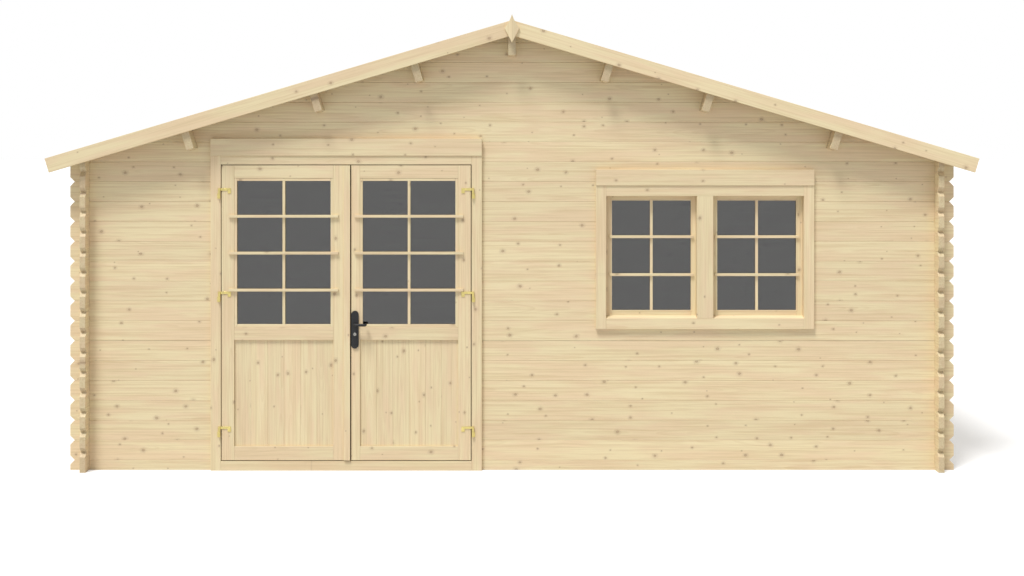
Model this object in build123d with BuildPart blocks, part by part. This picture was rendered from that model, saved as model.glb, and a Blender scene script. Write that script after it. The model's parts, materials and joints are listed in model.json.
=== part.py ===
"""Garden shed: a log-board cabin with a gable roof, a double half-glazed door and a twin window.

Millimetres. +X runs to the right along the front, +Y to the back and +Z up. The origin is on the
ground, in the middle of the plan. The front gable faces -Y.
"""

import math
import os

from build123d import *

# Fits
SEAT = 0.3
DOOR_CLEARANCE = 5.0
MEETING_GAP = 6.0

# Wall boards
LOG_HEIGHT = 117.0
LOG_THICKNESS = 34.0
SIDE_COURSES = 16
JOINT_BEVEL = 3.5
WALL_WIDTH = 5010.0
WALL_DEPTH = 4010.0
LOG_OVERHANG = 78.0
TIP_CUT_LENGTH = 26.0
TIP_CUT_HEIGHT = 26.0

# Roof
ROOF_PITCH = 16.5
ROOF_BOARD_THICKNESS = 18.0
EAVES_REACH = 2820.0
VERGE_OVERHANG = 110.0
PURLIN_THICKNESS = 44.0
PURLIN_DEPTH = 165.0
RIDGE_DEPTH = 180.0
PURLIN_STATIONS = (611.0, 1222.0, 2000.0)
BARGE_HEIGHT = 85.0
BARGE_THICKNESS = 18.0
BARGE_RISE = 3.0
FINIAL_WIDTH = 87.0
FINIAL_THICKNESS = 20.0
FINIAL_EDGE = 9.0
FINIAL_ABOVE_APEX = 33.0
FINIAL_BELOW_APEX = 133.0
FINIAL_SHOULDER = 48.0
FINIAL_NECK = 20.0
FINIAL_HOLLOW = 6.0

# Floor
JOIST_WIDTH = 60.0
JOIST_HEIGHT = 40.0
JOIST_COUNT = 7
FLOOR_BOARD_THICKNESS = 18.0

# Casings, shared by the door and the window
CASING_WIDTH = 60.0
CASING_PROUD = 20.0
CASING_LAP = 35.0

# Door
DOOR_CENTRE = -973.5
DOOR_OPENING_WIDTH = 1523.0
MEETING_OFFSET = 26.5
DOOR_HEAD_COURSES = 16
DOOR_FRAME_HEAD = 51.0
DOOR_HEAD_BOARD = 101.0
DOOR_STOP = 15.0
THRESHOLD_HEIGHT = 56.0
LEAF_THICKNESS = 40.0
STILE_WIDTH = 74.0
LEFT_MEETING_STILE = 99.0
RIGHT_MEETING_STILE = 51.0
TOP_RAIL = 75.0
MIDDLE_RAIL = 92.0
BOTTOM_RAIL = 83.0
PANEL_TOP_ABOVE_GROUND = 767.0
PANEL_THICKNESS = 15.0
PANEL_RECESS = 11.0
BEAD_WIDTH = 16.0
BEAD_THICKNESS = 12.0
BEAD_RECESS = 2.0
GLASS_THICKNESS = 4.0
BAR_WIDTH = 16.0
BAR_PROUD = 12.0
BAR_LAP = 31.0
BAR_LEVELS = (1061.0, 1278.0, 1494.0)
STRIP_WIDTH = 36.0
STRIP_PROUD = 10.0
LEAF_BEVEL = 3.0

# Hinges
HINGE_LEVELS = (199.0, 991.0, 1598.0)
KNUCKLE_RADIUS = 7.0
KNUCKLE_HEIGHT = 30.0
KNUCKLE_GAP = 0.5
PIN_RADIUS = 3.0
PIN_CLEARANCE = 0.08
PIN_HEIGHT = 22.0
HINGE_OFFSET = 8.0
HINGE_PLATE = 3.0
HINGE_FRAME_REACH = 12.0
HINGE_ARM_HEIGHT = 14.0
HINGE_END_WIDTH = 19.0
HINGE_LEAF_REACH = 68.0

# Lock and levers
LOCK_PLATE_WIDTH = 43.0
LOCK_PLATE_HEIGHT = 221.0
LOCK_PLATE_THICKNESS = 8.0
LOCK_CENTRE_LEVEL = 828.5
LOCK_FROM_EDGE = 22.5
SPINDLE_ABOVE_CENTRE = 31.0
CYLINDER_BELOW_CENTRE = 26.5
CYLINDER_RADIUS = 9.0
CYLINDER_PROUD = 3.0
LEVER_NECK_RADIUS = 7.0
LEVER_STANDOFF = 50.0
LEVER_LENGTH = 72.0
LEVER_HEIGHT = 16.0
LEVER_THICKNESS = 12.0
LEVER_RETURN = 34.0
LEVER_CHAMFER = 5.0

# Window
WINDOW_CENTRE = 1134.0
WINDOW_OPENING_WIDTH = 1212.0
WINDOW_SILL_COURSES = 8
WINDOW_HEAD_COURSES = 15
WINDOW_SILL_LAP = 46.5
WINDOW_FRAME_FOOT = 64.0
WINDOW_SILL_RISE = 12.0
WINDOW_FRAME_HEAD = 61.0
WINDOW_HEAD_GAP = 22.5
WINDOW_HEAD_BOARD = 94.0
MULLION_WIDTH = 96.0
SASH_STILE = 36.5
SASH_MEETING_STILE = 29.5
SASH_RECESS = 30.0
SASH_THICKNESS = 24.0
SASH_FOOT = 42.0
SASH_HEAD = 28.0
SASH_BAR_LAP = 15.0
WINDOW_BAR_LEVELS = (1147.0, 1371.0)

# Levels and places that follow
HALF_LOG = LOG_THICKNESS / 2
HALF_WIDTH = WALL_WIDTH / 2
HALF_DEPTH = WALL_DEPTH / 2
TIP_X = HALF_WIDTH + HALF_LOG + LOG_OVERHANG
TIP_Y = HALF_DEPTH + HALF_LOG + LOG_OVERHANG
SIDE_JOINTS = [n * LOG_HEIGHT for n in range(SIDE_COURSES + 1)]
FRONT_JOINTS = [0.0] + [(n + 0.5) * LOG_HEIGHT for n in range(SIDE_COURSES)]
PITCH = math.radians(ROOF_PITCH)
EAVES_LEVEL = SIDE_JOINTS[-1]
RIDGE_LEVEL = EAVES_LEVEL + HALF_WIDTH * math.tan(PITCH)
GABLE_COURSES = math.ceil((RIDGE_LEVEL - FRONT_JOINTS[-1]) / LOG_HEIGHT)
GABLE_JOINTS = [FRONT_JOINTS[-1] + n * LOG_HEIGHT for n in range(GABLE_COURSES + 1)]
VERGE_Y = HALF_DEPTH + HALF_LOG + VERGE_OVERHANG
BARGE_TOP = ROOF_BOARD_THICKNESS + BARGE_RISE
APEX_LEVEL = RIDGE_LEVEL + BARGE_TOP / math.cos(PITCH)

WALL_FACE = -HALF_DEPTH - HALF_LOG
WALL_BACK = -HALF_DEPTH + HALF_LOG
CASING_FACE = WALL_FACE - CASING_PROUD
CASING_BACK = WALL_BACK + CASING_PROUD
WEB = CASING_WIDTH - CASING_LAP

DOOR_LEFT = DOOR_CENTRE - DOOR_OPENING_WIDTH / 2
DOOR_RIGHT = DOOR_CENTRE + DOOR_OPENING_WIDTH / 2
DOOR_HEAD_LEVEL = FRONT_JOINTS[DOOR_HEAD_COURSES]
FRAME_LEFT = DOOR_LEFT + WEB
FRAME_RIGHT = DOOR_RIGHT - WEB
FRAME_TOP = DOOR_HEAD_LEVEL + CASING_LAP
FRAME_HEAD_LEVEL = FRAME_TOP - DOOR_FRAME_HEAD
LEAF_BACK = CASING_FACE + LEAF_THICKNESS
STOP_FACE = LEAF_BACK + DOOR_CLEARANCE
LEAF_BOTTOM = THRESHOLD_HEIGHT + DOOR_CLEARANCE
LEAF_TOP = FRAME_HEAD_LEVEL - DOOR_CLEARANCE
GLASS_BOTTOM = PANEL_TOP_ABOVE_GROUND + MIDDLE_RAIL - BEAD_WIDTH
PANEL_BOTTOM = LEAF_BOTTOM + BOTTOM_RAIL
MEETING_X = DOOR_CENTRE + MEETING_OFFSET

WINDOW_LEFT = WINDOW_CENTRE - WINDOW_OPENING_WIDTH / 2
WINDOW_RIGHT = WINDOW_CENTRE + WINDOW_OPENING_WIDTH / 2
SILL_LEVEL = FRONT_JOINTS[WINDOW_SILL_COURSES]
WINDOW_TOP = FRONT_JOINTS[WINDOW_HEAD_COURSES]
SASH_FACE = WALL_FACE + SASH_RECESS


def slope_point(side, along, up):
    """A point of one roof slope, from the ridge: along it, and up square to its underside."""
    x = along * math.cos(PITCH) + up * math.sin(PITCH)
    z = RIDGE_LEVEL - along * math.sin(PITCH) + up * math.cos(PITCH)
    return (side * x, z)


def plumb_point(side, up):
    """Where a layer at this height over the underside meets the ridge joint's plumb cut."""
    along = (SEAT / 2 - up * math.sin(PITCH)) / math.cos(PITCH)
    return slope_point(side, along, up)


def draw_boards(centre, joints):
    """Cross-sections of the boards between these joints, each bevelled along its upper outer edge."""
    for low, high in zip(joints, joints[1:]):
        with Locations((centre, (low + high - SEAT) / 2)):
            Rectangle(LOG_THICKNESS, high - low - SEAT)
    corners = vertices().sort_by(Axis.X)
    half = len(corners) // 2
    outer = corners[half:] if centre > 0 else corners[:half]
    chamfer(outer.sort_by(Axis.Y)[1::2], JOINT_BEVEL)


def draw_corner_cuts(crossing, tip, joints, shaped):
    """Notches over the crossing wall at each joint, and the shaped ends of the boards."""
    side = math.copysign(1, tip)
    for joint in joints:
        with Locations((crossing, joint)):
            Rectangle(LOG_THICKNESS + 2 * SEAT, LOG_HEIGHT / 2 + SEAT)
    for joint in shaped:
        Polygon(
            (tip - side * TIP_CUT_LENGTH, joint),
            (tip + side, joint - TIP_CUT_HEIGHT * (1 + 1 / TIP_CUT_LENGTH)),
            (tip + side, joint + TIP_CUT_HEIGHT * (1 + 1 / TIP_CUT_LENGTH)),
            align=None,
        )


def draw_purlin(side, station, grow=0.0):
    """One side purlin's cross-section, square to the slope with its top under the roof boards."""
    with Locations(slope_point(side, station, -SEAT - PURLIN_DEPTH / 2)):
        Rectangle(PURLIN_THICKNESS + grow, PURLIN_DEPTH + grow, rotation=-side * ROOF_PITCH)


def draw_ridge_purlin(grow=0.0):
    """The ridge purlin's cross-section, with its top bevelled to both slopes."""
    half = PURLIN_THICKNESS / 2 + grow / 2
    shoulder = RIDGE_LEVEL - half * math.tan(PITCH) - SEAT
    Polygon(
        (-half, RIDGE_LEVEL - RIDGE_DEPTH - grow / 2),
        (half, RIDGE_LEVEL - RIDGE_DEPTH - grow / 2),
        (half, shoulder),
        (0, RIDGE_LEVEL - SEAT),
        (-half, shoulder),
        align=None,
    )


def draw_under_roof(low, lift=0.0):
    """Everything below the roof boards, down to a level."""
    reach = TIP_X + LOG_OVERHANG
    edge = RIDGE_LEVEL - reach * math.tan(PITCH) - SEAT + lift
    Polygon(
        (-reach, low),
        (reach, low),
        (reach, edge),
        (0, RIDGE_LEVEL - SEAT + lift),
        (-reach, edge),
        align=None,
    )


def wall_elevation(y):
    """A plane across the building at this depth, seen from the front."""
    return Plane.XZ.offset(-y)


def box_between(low, high, mode=Mode.ADD):
    """A box between two corners."""
    size = [b - a for a, b in zip(low, high)]
    middle = tuple((a + b) / 2 for a, b in zip(low, high))
    with Locations(middle):
        Box(*size, mode=mode)


def frame_members(depth, outer, opening):
    """Two uprights and the crosspieces between them. All three are pairs of limits, in y, x and z."""
    near, far = depth
    (low_x, high_x), (low_z, high_z) = outer
    (left, right), (bottom, top) = opening
    box_between((low_x, near, low_z), (left, far, high_z))
    box_between((right, near, low_z), (high_x, far, high_z))
    box_between((left + SEAT, near, low_z), (right - SEAT, far, bottom))
    box_between((left + SEAT, near, top), (right - SEAT, far, high_z))


def save(builder, label):
    """Label a finished piece and write its file."""
    builder.part.label = label
    export_step(builder.part, f"parts/{label}.step")


def cut_front_corners(y, joints, sides):
    """Notch and shape the front or back wall's ends in the part being built."""
    with BuildSketch(wall_elevation(y - LOG_THICKNESS)) as cuts:
        for side in sides:
            draw_corner_cuts(side * HALF_WIDTH, side * TIP_X, joints, joints)
    extrude(cuts.sketch, amount=-2 * LOG_THICKNESS, mode=Mode.SUBTRACT)


def front_boards(y, left, right, joints):
    """Boards across the front or back wall, added to the part being built."""
    with BuildSketch(Plane.YZ.offset(left)) as sections:
        draw_boards(y, joints)
    extrude(sections.sketch, amount=right - left)


def build_front_wall():
    """The front wall on each side of the doorway, up to the gable."""
    joints = FRONT_JOINTS
    with BuildPart() as front_wall_left:
        front_boards(-HALF_DEPTH, -TIP_X, DOOR_LEFT, joints[: DOOR_HEAD_COURSES + 1])
        cut_front_corners(-HALF_DEPTH, joints[1:], [-1])
    save(front_wall_left, "front_wall_left")

    with BuildPart() as front_wall_right:
        front_boards(-HALF_DEPTH, DOOR_RIGHT, TIP_X, joints[: WINDOW_SILL_COURSES + 1])
        beside = joints[WINDOW_SILL_COURSES : WINDOW_HEAD_COURSES + 1]
        front_boards(-HALF_DEPTH, DOOR_RIGHT, WINDOW_LEFT, beside)
        front_boards(-HALF_DEPTH, WINDOW_RIGHT, TIP_X, beside)
        front_boards(-HALF_DEPTH, DOOR_RIGHT, TIP_X, joints[WINDOW_HEAD_COURSES:])
        cut_front_corners(-HALF_DEPTH, joints[1:], [1])
    save(front_wall_right, "front_wall_right")


def build_gable(label, y):
    """The stack of boards between a wall and the roof, pocketed for the purlins."""
    with BuildPart() as gable:
        front_boards(y, -TIP_X, TIP_X, GABLE_JOINTS)
        cut_front_corners(y, FRONT_JOINTS[-1:], [-1, 1])
        with BuildSketch(wall_elevation(y - LOG_THICKNESS)):
            draw_under_roof(GABLE_JOINTS[0])
        extrude(amount=-2 * LOG_THICKNESS, mode=Mode.INTERSECT)
        with BuildSketch(wall_elevation(y - LOG_THICKNESS)):
            for side in (-1, 1):
                for station in PURLIN_STATIONS:
                    draw_purlin(side, station, 2 * SEAT)
            draw_ridge_purlin(2 * SEAT)
        extrude(amount=-2 * LOG_THICKNESS, mode=Mode.SUBTRACT)
    save(gable, label)


def build_back_wall():
    """The plain back wall."""
    with BuildPart() as back_wall:
        front_boards(HALF_DEPTH, -TIP_X, TIP_X, FRONT_JOINTS)
        cut_front_corners(HALF_DEPTH, FRONT_JOINTS[1:], [-1, 1])
    save(back_wall, "back_wall")


def build_side_wall(label, side):
    """One plain side wall, its top board bevelled under the roof."""
    x = side * HALF_WIDTH
    rise = LOG_THICKNESS * math.tan(PITCH)
    with BuildPart() as side_wall:
        with BuildSketch(Plane.XZ.offset(-TIP_Y)):
            draw_boards(x, SIDE_JOINTS[:-1] + [SIDE_JOINTS[-1] + rise])
        extrude(amount=2 * TIP_Y)
        with BuildSketch(Plane.YZ.offset(x - LOG_THICKNESS)):
            for end in (-1, 1):
                draw_corner_cuts(end * HALF_DEPTH, end * TIP_Y, SIDE_JOINTS, SIDE_JOINTS[1:-1])
        extrude(amount=2 * LOG_THICKNESS, mode=Mode.SUBTRACT)
        with BuildSketch(Plane.XZ.offset(-TIP_Y)):
            draw_under_roof(0)
        extrude(amount=2 * TIP_Y, mode=Mode.INTERSECT)
    save(side_wall, label)


def build_purlins():
    """The ridge purlin and the three purlins of each slope."""
    with BuildPart() as ridge_purlin:
        with BuildSketch(wall_elevation(VERGE_Y)):
            draw_ridge_purlin()
        extrude(amount=2 * VERGE_Y)
    save(ridge_purlin, "ridge_purlin")

    for label, side in (("left_purlins", -1), ("right_purlins", 1)):
        with BuildPart() as purlins:
            with BuildSketch(wall_elevation(VERGE_Y)):
                for station in PURLIN_STATIONS:
                    draw_purlin(side, station)
            extrude(amount=2 * VERGE_Y)
        save(purlins, label)


def build_roof():
    """The roof boards of each slope, laid from ridge to eaves."""
    for label, side in (("left_roof_boards", -1), ("right_roof_boards", 1)):
        with BuildPart() as roof_boards:
            with BuildSketch(wall_elevation(VERGE_Y)):
                with BuildLine():
                    Polyline(
                        plumb_point(side, 0),
                        slope_point(side, EAVES_REACH, 0),
                        slope_point(side, EAVES_REACH, ROOF_BOARD_THICKNESS),
                        plumb_point(side, ROOF_BOARD_THICKNESS),
                        close=True,
                    )
                make_face()
            extrude(amount=2 * VERGE_Y)
        save(roof_boards, label)


def build_bargeboards(label, end):
    """The pair of bargeboards over one gable, mitred at the ridge."""
    inner = end * (VERGE_Y + SEAT)
    with BuildPart() as bargeboards:
        with BuildSketch(wall_elevation(inner)):
            for side in (-1, 1):
                with BuildLine():
                    Polyline(
                        plumb_point(side, BARGE_TOP - BARGE_HEIGHT),
                        slope_point(side, EAVES_REACH, BARGE_TOP - BARGE_HEIGHT),
                        slope_point(side, EAVES_REACH, BARGE_TOP),
                        plumb_point(side, BARGE_TOP),
                        close=True,
                    )
                make_face()
        extrude(amount=-end * BARGE_THICKNESS)
    save(bargeboards, label)


def build_finial(label, end):
    """The diamond over the bargeboards' joint, with a crease down its face."""
    top = APEX_LEVEL + FINIAL_ABOVE_APEX
    bottom = APEX_LEVEL - FINIAL_BELOW_APEX
    shoulder = APEX_LEVEL - FINIAL_SHOULDER
    neck = (top + shoulder) / 2 - FINIAL_HOLLOW
    half = FINIAL_WIDTH / 2
    inner = VERGE_Y + BARGE_THICKNESS + 2 * SEAT
    with BuildPart() as finial:
        with BuildSketch(wall_elevation(end * inner)):
            with BuildLine():
                ThreePointArc((0, top), (FINIAL_NECK, neck), (half, shoulder))
                Line((half, shoulder), (0, bottom))
                Line((0, bottom), (-half, shoulder))
                ThreePointArc((-half, shoulder), (-FINIAL_NECK, neck), (0, top))
            make_face()
        extrude(amount=-end * FINIAL_THICKNESS)
        with BuildSketch(Plane.XY.offset(bottom)):
            with BuildLine():
                Polyline(
                    (-half, end * inner),
                    (half, end * inner),
                    (half, end * (inner + FINIAL_EDGE)),
                    (0, end * (inner + FINIAL_THICKNESS)),
                    (-half, end * (inner + FINIAL_EDGE)),
                    close=True,
                )
            make_face()
        extrude(amount=top - bottom, mode=Mode.INTERSECT)
    save(finial, label)


def build_floor():
    """Joists on the ground and the floor boards over them, notched round the door frame."""
    room_x = HALF_WIDTH - HALF_LOG - SEAT
    room_y = HALF_DEPTH - HALF_LOG - SEAT
    notch_y = CASING_BACK + SEAT
    spread = (room_y - notch_y - JOIST_WIDTH) / (JOIST_COUNT - 1)
    with BuildPart() as floor_joists:
        with Locations((0, (room_y + notch_y) / 2, JOIST_HEIGHT / 2)):
            with GridLocations(1, spread, 1, JOIST_COUNT):
                Box(2 * room_x, JOIST_WIDTH, JOIST_HEIGHT)
    save(floor_joists, "floor_joists")

    bottom = JOIST_HEIGHT + SEAT
    top = bottom + FLOOR_BOARD_THICKNESS
    with BuildPart() as floor_boards:
        box_between((-room_x, -room_y, bottom), (room_x, room_y, top))
        box_between(
            (DOOR_LEFT - CASING_LAP - SEAT, -room_y, bottom),
            (DOOR_RIGHT + CASING_LAP + SEAT, notch_y, top),
            mode=Mode.SUBTRACT,
        )
    save(floor_boards, "floor_boards")


def draw_jamb(opening, side):
    """A jamb in plan: casings inside and outside the wall, a web between, and the door's stop."""
    edge = opening - side * SEAT
    inside = opening - side * WEB
    outside = opening + side * CASING_LAP
    Polygon(
        (outside, CASING_FACE),
        (inside, CASING_FACE),
        (inside, STOP_FACE),
        (inside - side * DOOR_STOP, STOP_FACE),
        (inside - side * DOOR_STOP, CASING_BACK),
        (outside, CASING_BACK),
        (outside, WALL_BACK + SEAT),
        (edge, WALL_BACK + SEAT),
        (edge, WALL_FACE - SEAT),
        (outside, WALL_FACE - SEAT),
        align=None,
    )


def build_door_frame():
    """Jambs, frame head, head board and threshold of the doorway."""
    with BuildPart() as door_jambs:
        with BuildSketch():
            draw_jamb(DOOR_LEFT, -1)
            draw_jamb(DOOR_RIGHT, 1)
        extrude(amount=FRAME_TOP - SEAT)
        box_between(
            (DOOR_LEFT - CASING_LAP, WALL_FACE - SEAT, DOOR_HEAD_LEVEL - SEAT),
            (DOOR_RIGHT + CASING_LAP, WALL_BACK + SEAT, FRAME_TOP),
            mode=Mode.SUBTRACT,
        )
    save(door_jambs, "door_jambs")

    with BuildPart() as door_frame_head:
        with BuildSketch(Plane.YZ.offset(FRAME_LEFT + SEAT)):
            with BuildLine():
                Polyline(
                    (CASING_FACE, FRAME_HEAD_LEVEL),
                    (STOP_FACE, FRAME_HEAD_LEVEL),
                    (STOP_FACE, FRAME_HEAD_LEVEL - DOOR_STOP),
                    (CASING_BACK, FRAME_HEAD_LEVEL - DOOR_STOP),
                    (CASING_BACK, FRAME_TOP - SEAT),
                    (WALL_BACK + SEAT, FRAME_TOP - SEAT),
                    (WALL_BACK + SEAT, DOOR_HEAD_LEVEL - SEAT),
                    (WALL_FACE - SEAT, DOOR_HEAD_LEVEL - SEAT),
                    (WALL_FACE - SEAT, FRAME_TOP - SEAT),
                    (CASING_FACE, FRAME_TOP - SEAT),
                    close=True,
                )
            make_face()
        extrude(amount=FRAME_RIGHT - FRAME_LEFT - 2 * SEAT)
        stop = DOOR_STOP + SEAT
        for low, high in (
            (FRAME_LEFT, FRAME_LEFT + stop),
            (FRAME_RIGHT - stop, FRAME_RIGHT),
        ):
            box_between(
                (low, STOP_FACE - SEAT, FRAME_HEAD_LEVEL - DOOR_STOP),
                (high, CASING_BACK, FRAME_TOP),
                mode=Mode.SUBTRACT,
            )
    save(door_frame_head, "door_frame_head")

    with BuildPart() as door_head_board:
        box_between(
            (DOOR_LEFT - CASING_LAP, CASING_FACE, FRAME_TOP),
            (DOOR_RIGHT + CASING_LAP, WALL_FACE - SEAT, FRAME_TOP + DOOR_HEAD_BOARD),
        )
    save(door_head_board, "door_head_board")

    with BuildPart() as door_threshold:
        stop = DOOR_STOP + SEAT
        box_between(
            (FRAME_LEFT + SEAT, CASING_FACE, 0),
            (FRAME_RIGHT - SEAT, STOP_FACE - SEAT, THRESHOLD_HEIGHT),
        )
        box_between(
            (FRAME_LEFT + stop, STOP_FACE - SEAT, 0),
            (FRAME_RIGHT - stop, CASING_BACK, THRESHOLD_HEIGHT),
        )
    save(door_threshold, "door_threshold")


class Leaf:
    """The places of one door leaf, from its hinge edge to its meeting edge."""

    def __init__(self, name, side, hinge_edge, meeting_edge, meeting_stile):
        self.name = name
        self.side = side
        self.hinge_edge = hinge_edge
        self.meeting_edge = meeting_edge
        self.low_x = min(hinge_edge, meeting_edge)
        self.high_x = max(hinge_edge, meeting_edge)
        self.field_hinge = hinge_edge - side * STILE_WIDTH
        self.field_meeting = meeting_edge + side * meeting_stile
        self.field_low = min(self.field_hinge, self.field_meeting)
        self.field_high = max(self.field_hinge, self.field_meeting)
        self.hinge_x = hinge_edge + side * (DOOR_CLEARANCE + HINGE_OFFSET)


def build_leaf_frame(leaf):
    """Stiles and rails of a leaf. The meeting stile's edge leans back to clear its neighbour."""
    with BuildPart() as stiles:
        box_between(
            (min(leaf.hinge_edge, leaf.field_hinge), CASING_FACE, LEAF_BOTTOM),
            (max(leaf.hinge_edge, leaf.field_hinge), LEAF_BACK, LEAF_TOP),
        )
        with BuildSketch(Plane.XY.offset(LEAF_BOTTOM)):
            with BuildLine():
                Polyline(
                    (leaf.field_meeting, CASING_FACE),
                    (leaf.meeting_edge, CASING_FACE),
                    (leaf.meeting_edge + leaf.side * LEAF_BEVEL, LEAF_BACK),
                    (leaf.field_meeting, LEAF_BACK),
                    close=True,
                )
            make_face()
        extrude(amount=LEAF_TOP - LEAF_BOTTOM)
    save(stiles, f"{leaf.name}_stiles")

    with BuildPart() as rails:
        for low, high in (
            (LEAF_BOTTOM, LEAF_BOTTOM + BOTTOM_RAIL),
            (PANEL_TOP_ABOVE_GROUND, PANEL_TOP_ABOVE_GROUND + MIDDLE_RAIL - BEAD_WIDTH),
            (LEAF_TOP - TOP_RAIL, LEAF_TOP),
        ):
            box_between(
                (leaf.field_low + SEAT, CASING_FACE, low),
                (leaf.field_high - SEAT, LEAF_BACK, high),
            )
    save(rails, f"{leaf.name}_rails")


def build_leaf_infill(leaf):
    """The board panel, the glass and the beads and bars that hold it."""
    low_x = leaf.field_low + SEAT
    high_x = leaf.field_high - SEAT
    top = LEAF_TOP - TOP_RAIL
    with BuildPart() as panel:
        box_between(
            (low_x, CASING_FACE + PANEL_RECESS, PANEL_BOTTOM + SEAT),
            (high_x, CASING_FACE + PANEL_RECESS + PANEL_THICKNESS, PANEL_TOP_ABOVE_GROUND - SEAT),
        )
    save(panel, f"{leaf.name}_panel")

    glass_face = CASING_FACE + BEAD_RECESS + BEAD_THICKNESS + SEAT
    with BuildPart() as glass:
        box_between(
            (low_x, glass_face, GLASS_BOTTOM + SEAT),
            (high_x, glass_face + GLASS_THICKNESS, top - SEAT),
        )
    save(glass, f"{leaf.name}_glass")

    middle_x = (low_x + high_x) / 2
    with BuildPart() as bars:
        low_z = GLASS_BOTTOM + SEAT
        high_z = top - SEAT
        bottom = low_z + BEAD_WIDTH
        for face in (CASING_FACE + BEAD_RECESS, glass_face + GLASS_THICKNESS + SEAT):
            frame_members(
                (face, face + BEAD_THICKNESS),
                ((low_x, high_x), (low_z, high_z)),
                ((low_x + BEAD_WIDTH, high_x - BEAD_WIDTH), (bottom, high_z - BEAD_WIDTH)),
            )
            box_between(
                (middle_x - BAR_WIDTH / 2, face, bottom + SEAT),
                (middle_x + BAR_WIDTH / 2, face + BEAD_THICKNESS, high_z - BEAD_WIDTH - SEAT),
            )
        for level in BAR_LEVELS:
            box_between(
                (low_x - BAR_LAP, CASING_FACE - SEAT - BAR_PROUD, level - BAR_WIDTH / 2),
                (high_x + BAR_LAP, CASING_FACE - SEAT, level + BAR_WIDTH / 2),
            )
    save(bars, f"{leaf.name}_bars")


def hinge_axis_y():
    """The hinge axis lies this far forward, so that the knuckles clear the jamb's face."""
    return CASING_FACE - SEAT - KNUCKLE_RADIUS


def build_leaf_hinges(leaf):
    """The leaf's three hinges: an upper knuckle on an arm, with a plate at the arm's end."""
    y = hinge_axis_y()
    with BuildPart() as straps:
        for level in HINGE_LEVELS:
            low = level + KNUCKLE_HEIGHT + KNUCKLE_GAP
            with Locations((leaf.hinge_x, y, low + KNUCKLE_HEIGHT / 2)):
                Cylinder(KNUCKLE_RADIUS, KNUCKLE_HEIGHT)
            reach = leaf.hinge_x - leaf.side * HINGE_LEAF_REACH
            plate = reach + leaf.side * HINGE_END_WIDTH
            top = low + KNUCKLE_HEIGHT
            for from_x, bottom in ((leaf.hinge_x, top - HINGE_ARM_HEIGHT), (plate, low)):
                box_between(
                    (min(from_x, reach), CASING_FACE - SEAT - HINGE_PLATE, bottom),
                    (max(from_x, reach), CASING_FACE - SEAT, top),
                )
            with Locations((leaf.hinge_x, y, low + PIN_HEIGHT / 2)):
                Cylinder(PIN_RADIUS + PIN_CLEARANCE, PIN_HEIGHT + KNUCKLE_GAP, mode=Mode.SUBTRACT)
    save(straps, f"{leaf.name}_hinges")


def build_frame_hinges(leaves):
    """The frame's hinge plates, each with the lower knuckle and its pin."""
    y = hinge_axis_y()
    with BuildPart() as plates:
        for leaf in leaves:
            reach = leaf.hinge_x + leaf.side * HINGE_FRAME_REACH
            for level in HINGE_LEVELS:
                with Locations((leaf.hinge_x, y, level + KNUCKLE_HEIGHT / 2)):
                    Cylinder(KNUCKLE_RADIUS, KNUCKLE_HEIGHT)
                box_between(
                    (min(leaf.hinge_x, reach), CASING_FACE - SEAT - HINGE_PLATE, level),
                    (max(leaf.hinge_x, reach), CASING_FACE - SEAT, level + KNUCKLE_HEIGHT),
                )
                pin = level + KNUCKLE_HEIGHT + PIN_HEIGHT / 2
                with Locations((leaf.hinge_x, y, pin - KNUCKLE_GAP)):
                    Cylinder(PIN_RADIUS, PIN_HEIGHT)
    save(plates, "door_frame_hinges")


def build_meeting_strip(leaf):
    """The strip down the left leaf's meeting edge."""
    with BuildPart() as strip:
        box_between(
            (leaf.meeting_edge - STRIP_WIDTH, CASING_FACE - SEAT - STRIP_PROUD, LEAF_BOTTOM),
            (leaf.meeting_edge, CASING_FACE - SEAT, LEAF_TOP),
        )
    save(strip, "door_meeting_strip")


def build_lock(leaf):
    """Lock plates inside and outside the right leaf, and the lever on each."""
    x = leaf.meeting_edge + LOCK_FROM_EDGE
    spindle = LOCK_CENTRE_LEVEL + SPINDLE_ABOVE_CENTRE
    cylinder = LOCK_CENTRE_LEVEL - CYLINDER_BELOW_CENTRE
    faces = ((CASING_FACE - SEAT, -1), (LEAF_BACK + SEAT, 1))
    with BuildPart() as lock_plates:
        for face, out in faces:
            with BuildSketch(wall_elevation(face)):
                with Locations((x, LOCK_CENTRE_LEVEL)):
                    SlotOverall(LOCK_PLATE_HEIGHT, LOCK_PLATE_WIDTH, rotation=90)
            extrude(amount=-out * LOCK_PLATE_THICKNESS)
            with BuildSketch(wall_elevation(face)):
                with Locations((x, cylinder)):
                    Circle(CYLINDER_RADIUS)
            extrude(amount=-out * (LOCK_PLATE_THICKNESS + CYLINDER_PROUD))
    save(lock_plates, "door_lock_plates")

    with BuildPart() as levers:
        for face, out in faces:
            start = face + out * (LOCK_PLATE_THICKNESS + SEAT)
            front = face + out * LEVER_STANDOFF
            back = front - out * LEVER_THICKNESS
            near = x - LEVER_NECK_RADIUS
            far = x + LEVER_LENGTH
            with BuildSketch(wall_elevation(start)):
                with Locations((x, spindle)):
                    Circle(LEVER_NECK_RADIUS)
            extrude(amount=-(back - start))
            with BuildSketch(Plane.XY.offset(spindle - LEVER_HEIGHT / 2)):
                with BuildLine():
                    Polyline(
                        (near, front),
                        (far - LEVER_CHAMFER, front),
                        (far, front - out * LEVER_CHAMFER),
                        (far, front - out * LEVER_RETURN),
                        (far - LEVER_THICKNESS, front - out * LEVER_RETURN),
                        (far - LEVER_THICKNESS, back),
                        (near, back),
                        close=True,
                    )
                make_face()
            extrude(amount=LEVER_HEIGHT)
    save(levers, "door_levers")


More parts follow.
